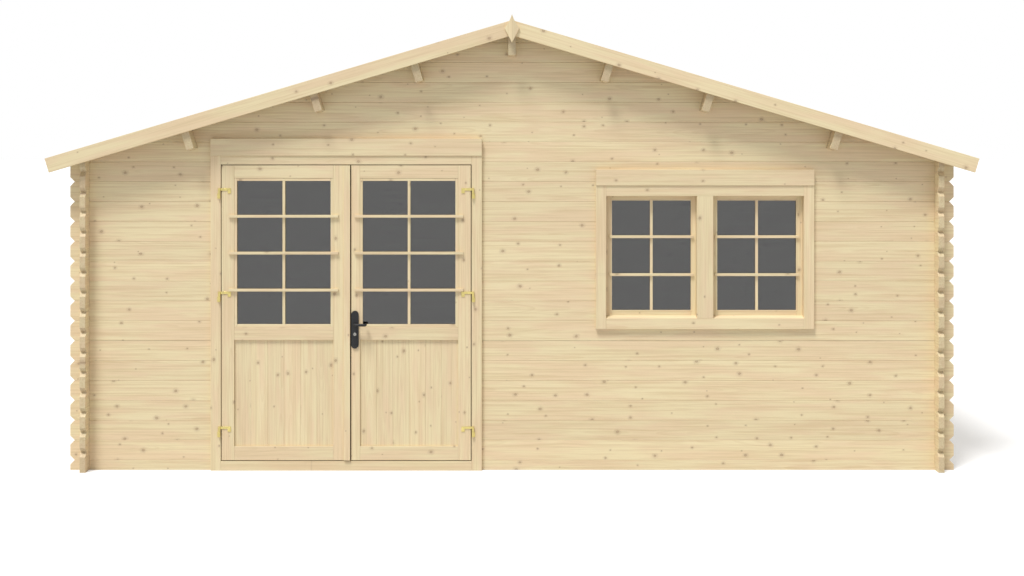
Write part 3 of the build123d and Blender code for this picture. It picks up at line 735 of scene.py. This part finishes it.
def close_tree(graph, geometry, material):
    """Realize the instances, set the material and put the result out."""
    real = graph.made("GeometryNodeRealizeInstances", {"Geometry": geometry})
    painted = graph.made("GeometryNodeSetMaterial", {"Geometry": real, "Material": material})
    graph.add("NodeGroupOutput", {"Geometry": painted})


def board_run_tree():
    """Boards side by side in one plane, with one end cut plumb."""
    inputs = sockets(
        Geometry=["Geometry"],
        Int=["Boards"],
        Float=["Step", "Gap", "Length", "Thickness", "End cut"],
        Vector=["Corner"],
        Rotation=["Turn"],
        Material=["Material"],
    )
    tree, graph, given = new_tree("Board run", "GeometryNodeTree", inputs, GEOMETRY)
    width = graph.minus(given["Step"], given["Gap"])
    size = graph.combine(width, given["Length"], given["Thickness"])
    cube = graph.made("GeometryNodeMeshCube", {"Size": size})
    half = graph.vector("MULTIPLY", size, (0.5, 0.5, 0.5))
    board = graph.made("GeometryNodeTransform", {"Geometry": cube, "Translation": half})
    _, y, z = graph.separate(graph.made("GeometryNodeInputPosition"))
    cut_back = graph.times(z, given["End cut"], -1.0)
    board = graph.made(
        "GeometryNodeSetPosition",
        {
            "Geometry": board,
            "Selection": graph.math("LESS_THAN", y, MERGE_DISTANCE),
            "Offset": graph.combine(0.0, cut_back, 0.0),
        },
    )
    places = graph.made(
        "GeometryNodeMeshLine",
        {
            "Count": given["Boards"],
            "Start Location": graph.combine(graph.times(given["Gap"], 0.5)),
            "Offset": graph.combine(given["Step"]),
        },
    )
    boards = graph.made("GeometryNodeInstanceOnPoints", {"Points": places, "Instance": board})
    placed = graph.made(
        "GeometryNodeTransform",
        {"Geometry": boards, "Translation": given["Corner"], "Rotation": given["Turn"]},
    )
    close_tree(graph, placed, given["Material"])
    return tree


def fixing_tree():
    """One fixing on each point of a mesh, square to the surface and turned at random."""
    inputs = sockets(
        Geometry=["Geometry"],
        Object=["Fixing"],
        Float=["Radius", "Most turn"],
        Int=["Seed"],
        Material=["Material"],
    )
    tree, graph, given = new_tree("Fixings", "GeometryNodeTree", inputs, GEOMETRY)
    fixing = graph.add("GeometryNodeObjectInfo", {"Object": given["Fixing"]}).outputs["Geometry"]
    facing = graph.made(
        "GeometryNodeInputNamedAttribute", {"Name": "facing"}, data_type="FLOAT_VECTOR"
    )
    square = graph.made("FunctionNodeAlignRotationToVector", {"Vector": facing}, axis="Z")
    chance = {"Seed": given["Seed"], 3: given["Most turn"]}
    angle = graph.add("FunctionNodeRandomValue", chance, data_type="FLOAT").outputs[1]
    about = {"Axis": (0.0, 0.0, 1.0), "Angle": angle}
    spin = graph.made("FunctionNodeAxisAngleToRotation", about)
    turned = graph.made(
        "FunctionNodeRotateRotation",
        {"Rotation": square, "Rotate By": spin},
        rotation_space="LOCAL",
    )
    fixings = graph.made(
        "GeometryNodeInstanceOnPoints",
        {
            "Points": given["Geometry"],
            "Instance": fixing,
            "Rotation": turned,
            "Scale": graph.even(given["Radius"]),
        },
    )
    close_tree(graph, fixings, given["Material"])
    return tree


def grow(piece, tree, values):
    """Replace a piece's mesh by what a geometry tree makes of it with these inputs."""
    modifier = piece.modifiers.new("Growth", "NODES")
    modifier.node_group = tree
    for item in tree.interface.items_tree:
        if item.in_out == "INPUT" and item.name in values:
            modifier[item.identifier] = values[item.name]
    depsgraph = bpy.context.evaluated_depsgraph_get()
    mesh = bpy.data.meshes.new_from_object(piece.evaluated_get(depsgraph), depsgraph=depsgraph)
    piece.modifiers.remove(modifier)
    piece.data = mesh


def board_run(name, corner, step, length, thickness, material, end_cut=0.0):
    """Boards that fill a plate. Step, length and thickness are vectors from the plate's corner."""
    boarding = settings().boarding
    turn = Matrix((step.normalized(), length.normalized(), thickness.normalized())).transposed()
    count = board_count(step)
    piece = new_object(name, bpy.data.meshes.new(name))
    values = {
        "Boards": count,
        "Step": step.length / count,
        "Gap": boarding.board_gap,
        "Length": length.length,
        "Thickness": thickness.length,
        "End cut": end_cut,
        "Corner": corner,
        "Turn": turn.to_euler(),
        "Material": material,
    }
    grow(piece, cached(bpy.data.node_groups, "Board run", board_run_tree), values)
    return piece


def board_count(step):
    """How many boards fill this width."""
    return max(1, round(step.length / settings().boarding.board_width))


def nail_shares(count):
    """How far across a row of boards the nails stand, two in each board."""
    return [(n + share) / count for n in range(count) for share in (NAIL_INSET, 1 - NAIL_INSET)]


def join_meshes(name, pieces):
    """One object with the meshes of these, which are removed."""
    shape = bmesh.new()
    for piece in pieces:
        shape.from_mesh(piece.data)
        bpy.data.objects.remove(piece)
    return new_object(name, new_mesh(name, shape))


def finish_boards(piece, body, material, slot, *nodes):
    """Round the boards' edges, give them grain and let them stand for their plate."""
    shape = bmesh.new()
    shape.from_mesh(piece.data)
    round_edges(shape, settings().boarding.board_rounding, ROUNDING_SEGMENTS)
    shape.to_mesh(piece.data)
    shape.free()
    store_grain(piece.data, settings().timber.seed + sum(map(ord, piece.name)))
    finish_piece(piece, body, material, slot, *nodes)


def skin(shape, rings):
    """Join rings with equal counts of points into a closed skin in a bmesh."""
    loops = [[shape.verts.new(point) for point in ring] for ring in rings]
    faces = [shape.faces.new(loops[0][::-1]), shape.faces.new(loops[-1])]
    for first, second in zip(loops, loops[1:]):
        for n in range(len(first)):
            faces.append(shape.faces.new((first[n - 1], first[n], second[n], second[n - 1])))
    bmesh.ops.recalc_face_normals(shape, faces=faces)


def lathe(name, rings):
    """A closed mesh from rings that are given as functions of the turn from 0 to tau."""
    shape = bmesh.new()
    turns = [math.tau * n / HEAD_SIDES for n in range(HEAD_SIDES)]
    skin(shape, [[ring(turn) for turn in turns] for ring in rings])
    return new_mesh(name, shape)


def circle(radius, height):
    """A ring of this radius at this height."""
    return lambda turn: (radius * math.cos(turn), radius * math.sin(turn), height)


def slot_ring(half_width, half_length, height, arms=1):
    """The outline of a narrow slot, or of a cross with two arms, at this height."""

    def ring(turn):
        reach = 0.0
        for arm in range(arms):
            along = abs(math.cos(turn + arm * math.pi / 2))
            across = abs(math.sin(turn + arm * math.pi / 2))
            ends = half_length / along if along > 1e-6 else math.inf
            sides = half_width / across if across > 1e-6 else math.inf
            reach = max(reach, min(ends, sides))
        return (reach * math.cos(turn), reach * math.sin(turn), height)

    return ring


# Rings of unit radius, from the foot of each head to its middle
HEAD_RINGS = {
    "nail_head": (circle(1.0, -0.1), circle(1.0, 0.1), circle(0.8, 0.22), circle(0.4, 0.3)),
    "screw_head": (
        circle(1.0, -0.1),
        circle(1.0, 0.06),
        circle(0.85, 0.2),
        slot_ring(*SCREW_CROSS, 0.26, arms=2),
        slot_ring(*SCREW_CROSS, -0.08, arms=2),
    ),
    "cylinder_head": (
        circle(1.0, -0.3),
        circle(1.0, 0.0),
        circle(0.94, 0.05),
        circle(0.7, 0.05),
        circle(0.68, 0.03),
        slot_ring(*KEYWAY, 0.03),
        slot_ring(*KEYWAY, -0.25),
    ),
}


def head_pattern(kind):
    """A head for instances to copy, hidden from the render."""
    name = kind + "_pattern"

    def build():
        pattern = new_object(name, lathe(kind, HEAD_RINGS[kind]))
        pattern.hide_render = True
        pattern.hide_viewport = True
        return pattern

    return cached(bpy.data.objects, name, build)


def place_fixings(name, places, kind, radius, body, material, slot=None, most_turn=math.tau):
    """Heads at these places, which are pairs of a point and the direction that it faces."""
    mesh = bpy.data.meshes.new(name)
    mesh.from_pydata([tuple(point) for point, _ in places], [], [])
    facing = mesh.attributes.new("facing", "FLOAT_VECTOR", "POINT")
    facing.data.foreach_set("vector", [c for _, direction in places for c in direction])
    piece = new_object(name, mesh)
    values = {
        "Fixing": head_pattern(kind),
        "Radius": radius,
        "Most turn": most_turn,
        "Seed": settings().timber.seed,
        "Material": material,
    }
    grow(piece, cached(bpy.data.node_groups, "Fixings", fixing_tree), values)
    finish_piece(piece, body, material, slot)


def place_nails(name, places):
    """Nails at these places of the cabin."""
    radius = settings().boarding.nail_radius
    place_fixings(name, places, "nail_head", radius, "cabin", metal_material("zinc"))


def solid_boxes(node):
    """The low and high corners of each separate solid of a CAD node."""
    mesh = rounded_copy(node, 0.0)
    boxes = []
    for vertices, _, _ in timbers(mesh):
        points = [mesh.vertices[n].co for n in vertices]
        low = Vector([min(p[axis] for p in points) for axis in range(3)])
        high = Vector([max(p[axis] for p in points) for axis in range(3)])
        boxes.append((low, high))
    bpy.data.meshes.remove(mesh)
    return boxes


def solid_points(node, low, high):
    """The points of a CAD node between two corners."""
    points = [vertex.co.copy() for vertex in frame["nodes"][node].data.vertices]
    return [
        p
        for p in points
        if all(low[axis] - MERGE_DISTANCE < p[axis] < high[axis] + MERGE_DISTANCE for axis in range(3))
    ]


def shade_smooth(mesh):
    """Shade a mesh smoothly, apart from its sharp edges."""
    mesh.polygons.foreach_set("use_smooth", [True] * len(mesh.polygons))
    mesh.set_sharp_from_angle(angle=SMOOTH_ANGLE)


def rounded_path(corners, radius):
    """Points along straight runs between corners, with each inner corner turned on an arc."""
    path = [corners[0]]
    for before, corner, after in zip(corners, corners[1:], corners[2:]):
        arrive = (corner - before).normalized()
        leave = (after - corner).normalized()
        start = corner - arrive * radius
        centre = start + leave * radius
        for n in range(TURN_STEPS + 1):
            turn = n / TURN_STEPS * math.pi / 2
            path.append(centre - leave * radius * math.cos(turn) + arrive * radius * math.sin(turn))
    return path + [corners[-1]]


def sweep(shape, path, radius):
    """Add a round bar along a path to a bmesh, with a domed end."""
    ahead = [(b - a).normalized() for a, b in zip(path, path[1:])]
    ahead = [ahead[0]] + [(a + b).normalized() for a, b in zip(ahead, ahead[1:])] + [ahead[-1]]
    stations = list(zip(path, ahead, [radius] * len(path)))
    end, direction, _ = stations.pop()
    base = end - direction * radius
    for n in range(DOME_STEPS):
        turn = n / DOME_STEPS * math.pi / 2
        centre = base + direction * radius * math.sin(turn)
        stations.append((centre, direction, radius * math.cos(turn)))
    rings = []
    up = Vector((0, 0, 1))
    turns = [math.tau * n / BAR_SIDES for n in range(BAR_SIDES)]
    for centre, direction, reach in stations:
        side = up.cross(direction).normalized()
        rings.append(
            [centre + (side * math.cos(turn) + up * math.sin(turn)) * reach for turn in turns]
        )
    skin(shape, rings)


def lay_timbers(name, boxes, rounding, body, material, slot):
    """Square timbers between pairs of low and high corners, with rounded edges and their own grain."""
    shape = bmesh.new()
    for low, high in boxes:
        place = Matrix.Translation((low + high) / 2) @ Matrix.Diagonal((*(high - low), 1.0))
        bmesh.ops.create_cube(shape, size=1.0, matrix=place)
    round_edges(shape, rounding, ROUNDING_SEGMENTS)
    mesh = new_mesh(name, shape)
    store_grain(mesh, settings().timber.seed)
    finish_piece(new_object(name, mesh), body, material, slot)


def reach_of(points, direction):
    """The lowest and highest of some points along a direction."""
    places = [point.dot(direction) for point in points]
    return min(places), max(places)


class RoofSlope:
    """Directions and corners of one slope's boards, read from the frame."""

    def __init__(self, side):
        self.node = side + "_roof_boards"
        self.purlins = side + "_purlins"
        mesh = rounded_copy(self.node, 0.0)
        _, edges, faces = timbers(mesh)[0]
        self.run, _, up = timber_axes(mesh, edges, faces)
        self.up = up if up.z > 0 else -up
        down = self.run.cross(self.up)
        self.down = down if down.z < 0 else -down
        points = [vertex.co for vertex in mesh.vertices]
        bottom, top = reach_of(points, self.up)
        under = [p for p in points if p.dot(self.up) < (bottom + top) / 2]
        over = [p for p in points if p.dot(self.up) > (bottom + top) / 2]
        ridge, eaves = reach_of(under, self.down)
        ridge_over, _ = reach_of(over, self.down)
        near, far = reach_of(points, self.run)
        self.length = self.down * (eaves - ridge)
        self.thickness = self.up * (top - bottom)
        self.width = self.run * (far - near)
        self.end_cut = (ridge - ridge_over) / (top - bottom)
        start = near if self.run.cross(self.down).dot(self.up) > 0 else far
        self.step = self.width if start == near else -self.width
        self.corner = self.run * start + self.down * ridge + self.up * bottom
        bpy.data.meshes.remove(mesh)


class CABIN_OT_walls(bpy.types.Operator):
    """Finish the log boards of the walls and gables"""

    bl_idname = "cabin.walls"
    bl_label = "Log walls"

    def execute(self, context):
        spruce = spruce_material("Wall spruce")
        for node in WALLS + GABLES:
            dress_timber(node, spruce, "wall_wood", bevel_kept=LOG_BEVEL_KEPT)
        return {"FINISHED"}


class CABIN_OT_roof(bpy.types.Operator):
    """Lay the roof boards with their nails, and finish the purlins, bargeboards and finials"""

    bl_idname = "cabin.roof"
    bl_label = "Roof"

    def execute(self, context):
        # Painted shade: the roof's spruce is made darker than the walls' (brightness 0.88), to offset
        # the stronger light that falls on the roof's top.
        spruce = spruce_material("Roof spruce", brightness=0.88, contrast=0.65, variation=0.16)
        for side in ("left", "right"):
            slope = RoofSlope(side)
            sides = (slope.corner, slope.step, slope.length, slope.thickness)
            boards = board_run(side + "_roof_boarding", *sides, spruce, slope.end_cut)
            finish_boards(boards, "cabin", spruce, "roof_wood", slope.node)
            self.nail_slope(side, slope)
            dress_timber(slope.purlins, spruce, "roof_wood")
        dress_timber("ridge_purlin", spruce, "roof_wood")
        trim = spruce_material("Trim spruce", brightness=1.02, contrast=0.5)
        for node in ("front_bargeboards", "back_bargeboards", "front_finial", "back_finial"):
            dress_timber(node, trim, "barge_wood")
        return {"FINISHED"}

    def nail_slope(self, side, slope):
        """Two nails through every board into every purlin."""
        middles = [(low + high) / 2 for low, high in solid_boxes(slope.purlins)]
        lines = [(middle - slope.corner).dot(slope.down) for middle in middles]
        low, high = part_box("ridge_purlin")
        lines.append((high.x - low.x) * RIDGE_NAIL_INSET)
        surface = slope.corner + slope.thickness
        places = [
            (surface + slope.step * share + slope.down * line, slope.up)
            for share in nail_shares(board_count(slope.step))
            for line in lines
        ]
        place_nails(side + "_roof_nails", places)


class CABIN_OT_floor(bpy.types.Operator):
    """Lay the floor boards with their nails, and finish the joists"""

    bl_idname = "cabin.floor"
    bl_label = "Floor"

    def execute(self, context):
        spruce = spruce_material("Floor spruce", brightness=0.95, contrast=0.65, variation=0.14)
        points = [vertex.co for vertex in frame["nodes"]["floor_boards"].data.vertices]
        across = sorted({round(point.x, FRAME_DIGITS) for point in points})
        back = sorted({round(point.y, FRAME_DIGITS) for point in points})
        low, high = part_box("floor_boards")
        thickness = Vector((0, 0, high.z - low.z))
        lines = [(front.y + rear.y) / 2 for front, rear in solid_boxes("floor_joists")]
        runs = []
        nails = []
        for left, right, front in zip(across, across[1:], (back[0], back[1], back[0])):
            step = Vector((right - left, 0, 0))
            length = Vector((0, back[-1] - front, 0))
            corner = Vector((left, front, low.z))
            runs.append(board_run("floor_run", corner, step, length, thickness, spruce))
            nails += [
                (Vector((left + step.length * share, line, high.z)), Vector((0, 0, 1)))
                for share in nail_shares(board_count(step))
                for line in lines
            ]
        boards = join_meshes("floor_boarding", runs)
        finish_boards(boards, "cabin", spruce, "floor_wood", "floor_boards")
        place_nails("floor_nails", nails)
        dress_timber("floor_joists", spruce, "floor_wood")
        return {"FINISHED"}


class CABIN_OT_door(bpy.types.Operator):
    """Finish the door frame and both leaves, with boards in their lower panels"""

    bl_idname = "cabin.door"
    bl_label = "Double door"

    def execute(self, context):
        spruce = joinery_spruce()
        for node in ("door_jambs", "door_frame_head", "door_threshold", "door_meeting_strip"):
            dress_timber(node, spruce, "joinery_wood")
        dress_timber("door_head_board", spruce, "joinery_wood", HEAD_BOARD_PROUD)
        for leaf in ("left", "right"):
            for part in ("stiles", "rails", "bars"):
                dress_timber(f"{leaf}_door_{part}", spruce, "joinery_wood")
            low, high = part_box(f"{leaf}_door_panel")
            size = high - low
            boards = board_run(
                f"{leaf}_door_panel_boards",
                Vector((high.x, low.y, low.z)),
                Vector((-size.x, 0, 0)),
                Vector((0, 0, size.z)),
                Vector((0, size.y, 0)),
                spruce,
            )
            finish_boards(boards, f"{leaf}_leaf", spruce, "joinery_wood", f"{leaf}_door_panel")
            self.lay_inner_bars(leaf, spruce)
        return {"FINISHED"}

    def lay_inner_bars(self, leaf, spruce):
        """Level bars behind the glass, between the inner beads and the inner upright bar."""
        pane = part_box(f"{leaf}_door_glass")
        bars = solid_boxes(f"{leaf}_door_bars")
        inside = [(low, high) for low, high in bars if low.y > pane[1].y]
        uprights = sorted(
            (box for box in inside if box[1].z - box[0].z > box[1].x - box[0].x),
            key=lambda box: box[0].x,
        )
        boxes = []
        for low, high in bars:
            if high.y < pane[0].y and high.x - low.x > pane[1].x - pane[0].x:
                for left, right in zip(uprights, uprights[1:]):
                    start = Vector((left[1].x + BAR_SEAT, left[0].y, low.z))
                    boxes.append((start, Vector((right[0].x - BAR_SEAT, left[1].y, high.z))))
        rounding = settings().timber.rounding
        lay_timbers(f"{leaf}_inner_bars", boxes, rounding, f"{leaf}_leaf", spruce, "joinery_wood")


class CABIN_OT_window(bpy.types.Operator):
    """Finish the twin window's frame, sashes and bars"""

    bl_idname = "cabin.window"
    bl_label = "Twin window"

    def execute(self, context):
        spruce = joinery_spruce()
        for node in ("window_frame", "window_mullion", "window_sashes", "window_bars"):
            dress_timber(node, spruce, "joinery_wood")
        dress_timber("window_head_board", spruce, "joinery_wood", HEAD_BOARD_PROUD)
        self.lay_beads(spruce)
        return {"FINISHED"}

    def lay_beads(self, spruce):
        """A slim bead round each pane, on the face of its sash."""
        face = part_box("window_sashes")[0].y
        rim = Vector((BEAD_WIDTH, 0, BEAD_WIDTH))
        boxes = []
        for low, high in solid_boxes("window_glass"):
            least, most = low - rim, high + rim
            for left, bottom, right, top in (
                (least.x, least.z, low.x, most.z),
                (high.x, least.z, most.x, most.z),
                (low.x, least.z, high.x, low.z),
                (low.x, high.z, high.x, most.z),
            ):
                boxes.append((Vector((left, face - BEAD_PROUD, bottom)), Vector((right, face, top))))
        lay_timbers("window_beads", boxes, BEAD_ROUNDING, "cabin", spruce, "joinery_wood")


class CABIN_OT_glass(bpy.types.Operator):
    """Glaze the door and the window"""

    bl_idname = "cabin.glass"
    bl_label = "Glass"

    def execute(self, context):
        glass = glass_material()
        for node in ("left_door_glass", "right_door_glass", "window_glass"):
            pane = frame["nodes"][node]
            pane.data.materials.clear()
            pane.data.materials.append(glass)
        return {"FINISHED"}


class CABIN_OT_fittings(bpy.types.Operator):
    """Finish the hinges with their screws, the lock plates with their cylinders, and the levers"""

    bl_idname = "cabin.fittings"
    bl_label = "Hinges and lock"

    def execute(self, context):
        brass = metal_material("brass")
        for node in ("left_door_hinges", "right_door_hinges", "door_frame_hinges"):
            self.dress_metal(node, brass, "brass", HINGE_ROUNDING)
        radius = context.scene.cabin.fittings.screw_radius
        for side in ("left", "right"):
            screws = self.screw_places(side + "_door_hinges", side == "left")
            name = side + "_hinge_screws"
            place_fixings(name, screws, "screw_head", radius, side + "_leaf", brass, "brass")
        coat = metal_material("coat")
        self.dress_metal("door_lock_plates", coat, "lock_metal", LOCK_ROUNDING)
        self.place_cylinders()
        self.sweep_levers(coat)
        return {"FINISHED"}

    def dress_metal(self, node, material, slot, radius):
        """Stand a rounded, smoothly shaded copy in for a metal CAD node."""
        piece = new_object(node + "_metal", rounded_copy(node, radius, METAL_SEGMENTS))
        shade_smooth(piece.data)
        finish_piece(piece, frame["nodes"][node]["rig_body"], material, slot, node)

    def screw_places(self, node, at_high_x):
        """Two screws on the plate at the end of each hinge arm."""
        places = []
        for low, high in solid_boxes(node):
            edge = high.x - HINGE_END_WIDTH / 2 if at_high_x else low.x + HINGE_END_WIDTH / 2
            middle = (low.z + high.z) / 2
            for shift in (-HINGE_SCREW_SPREAD, HINGE_SCREW_SPREAD):
                place = Vector((edge, high.y - HINGE_PLATE, middle + shift))
                places.append((place, Vector((0, -1, 0))))
        return places

    def place_cylinders(self):
        """A bright cylinder face with a keyway over the cylinder of each lock plate."""
        places = []
        for low, high in solid_boxes("door_lock_plates"):
            points = solid_points("door_lock_plates", low, high)
            out = -1 if low.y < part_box("right_door_stiles")[0].y else 1
            proud = low.y if out < 0 else high.y
            tips = [p for p in points if abs(p.y - proud) < CYLINDER_TIP]
            middle = sum(tips, Vector()) / len(tips)
            places.append((middle, Vector((0, out, 0))))
        place_fixings(
            "lock_cylinders",
            places,
            "cylinder_head",
            CYLINDER_WIDTH / 2,
            "right_leaf",
            metal_material("zinc"),
            "lock_metal",
            most_turn=0.0,
        )

    def sweep_levers(self, material):
        """Round levers whose ends turn back to the door, along the middle of the CAD levers."""
        shape = bmesh.new()
        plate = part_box("door_lock_plates")
        for low, high in solid_boxes("door_levers"):
            points = solid_points("door_levers", low, high)
            out = -1 if low.y < plate[0].y else 1
            front, start = (low.y, high.y) if out < 0 else (high.y, low.y)
            radius = (high.z - low.z) / 2
            tip = [p.y for p in points if high.x - p.x < MERGE_DISTANCE]
            back = max(tip) if out < 0 else min(tip)
            level = (low.z + high.z) / 2
            arm = front - out * radius
            corners = [
                Vector((low.x + radius, start, level)),
                Vector((low.x + radius, arm, level)),
                Vector((high.x - radius, arm, level)),
                Vector((high.x - radius, back, level)),
            ]
            sweep(shape, rounded_path(corners, LEVER_TURN), radius)
        piece = new_object("door_levers_swept", new_mesh("door_levers_swept", shape))
        shade_smooth(piece.data)
        body = frame["nodes"]["door_levers"]["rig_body"]
        finish_piece(piece, body, material, "lock_metal", "door_levers")


class CABIN_OT_stage(bpy.types.Operator):
    """Set up the floor, the light and the camera"""

    bl_idname = "cabin.stage"
    bl_label = "Stage"

    def execute(self, context):
        stage = context.scene.cabin.stage
        self.lay_floor(stage)
        self.light(context, stage)
        camera = new_object("camera", bpy.data.cameras.new("camera"))
        camera.location = (0, -EYE_DISTANCE, EYE_HEIGHT)
        camera.rotation_euler = (math.pi / 2, 0, 0)
        camera.data.lens = LENS
        camera.data.sensor_width = SENSOR
        camera.data.shift_y = LENS_SHIFT
        camera.data.clip_end = VIEW_REACH
        context.scene.camera = camera
        context.scene.view_settings.view_transform = "Standard"
        return {"FINISHED"}

    def lay_floor(self, stage):
        """A pale floor that stays white to the camera except in the cabin's shadow."""
        shape = bmesh.new()
        bmesh.ops.create_grid(shape, x_segments=1, y_segments=1, size=FLOOR_REACH)
        floor = new_object("floor", new_mesh("floor", shape))
        inputs = {"Roughness": 0.9, "Emission Strength": stage.glow}
        material, graph, shader = new_material("Pale floor", inputs)
        seen = self.seen_rays(graph)
        tone = graph.blend(seen, (*[stage.bounce] * 3, 1.0), (*[stage.floor] * 3, 1.0))
        graph.feed(shader.inputs["Base Color"], tone)
        graph.feed(shader.inputs["Emission Color"], graph.even(seen))
        floor.data.materials.append(material)

    def seen_rays(self, graph):
        """One for rays that reach the camera straight, off a gloss or through glass, else nought."""
        paths = graph.add("ShaderNodeLightPath").outputs
        seen = graph.math("MAXIMUM", paths["Is Camera Ray"], paths["Is Glossy Ray"])
        return graph.math("MAXIMUM", seen, paths["Is Transmission Ray"])

    def light(self, context, stage):
        """Soft light all round, white where it is seen, and a soft sun from the front left."""
        world = bpy.data.worlds.new("Sky")
        world.use_nodes = True
        world.node_tree.nodes.clear()
        context.scene.world = world
        graph = Graph(world.node_tree)
        strength = graph.math("MULTIPLY_ADD", self.seen_rays(graph), 1.0 - stage.sky, stage.sky)
        inputs = {"Color": (1.0, 1.0, 1.0, 1.0), "Strength": strength}
        sky = graph.made("ShaderNodeBackground", inputs)
        graph.add("ShaderNodeOutputWorld", {"Surface": sky})
        lamp = bpy.data.lights.new("sun", "SUN")
        lamp.energy = stage.sun
        lamp.angle = stage.sun_spread
        sun = new_object("sun", lamp)
        sun.rotation_euler = Vector(SUN_DIRECTION).to_track_quat("-Z", "Y").to_euler()


OPERATORS = (
    CABIN_OT_walls,
    CABIN_OT_roof,
    CABIN_OT_floor,
    CABIN_OT_door,
    CABIN_OT_window,
    CABIN_OT_glass,
    CABIN_OT_fittings,
    CABIN_OT_stage,
)


class CABIN_PT_panel(bpy.types.Panel):
    """Lists the cabin's settings and the steps that finish it"""

    bl_idname = "CABIN_PT_panel"
    bl_label = "Log-board cabin"
    bl_space_type = "VIEW_3D"
    bl_region_type = "UI"
    bl_category = "Cabin"

    def draw(self, context):
        cabin = context.scene.cabin
        for group in (cabin.timber, cabin.boarding, cabin.fittings, cabin.stage):
            box = self.layout.box()
            for name in group.__annotations__:
                box.prop(group, name)
        for operator in OPERATORS:
            self.layout.operator(operator.bl_idname)


GROUPS = (TimberSettings, BoardingSettings, FittingSettings, StageSettings, CabinSettings)


def register():
    """Register the settings, the operators and the panel."""
    for item in (*GROUPS, *OPERATORS, CABIN_PT_panel):
        bpy.utils.register_class(item)
    bpy.types.Scene.cabin = PointerProperty(type=CabinSettings)


def unregister():
    """Remove what register added."""
    del bpy.types.Scene.cabin
    for item in reversed((*GROUPS, *OPERATORS, CABIN_PT_panel)):
        bpy.utils.unregister_class(item)


def main():
    """Finish the cabin step by step."""
    register()
    for operator in OPERATORS:
        module, name = operator.bl_idname.split(".")
        getattr(getattr(bpy.ops, module), name)()


if __name__ == "__main__":
    main()
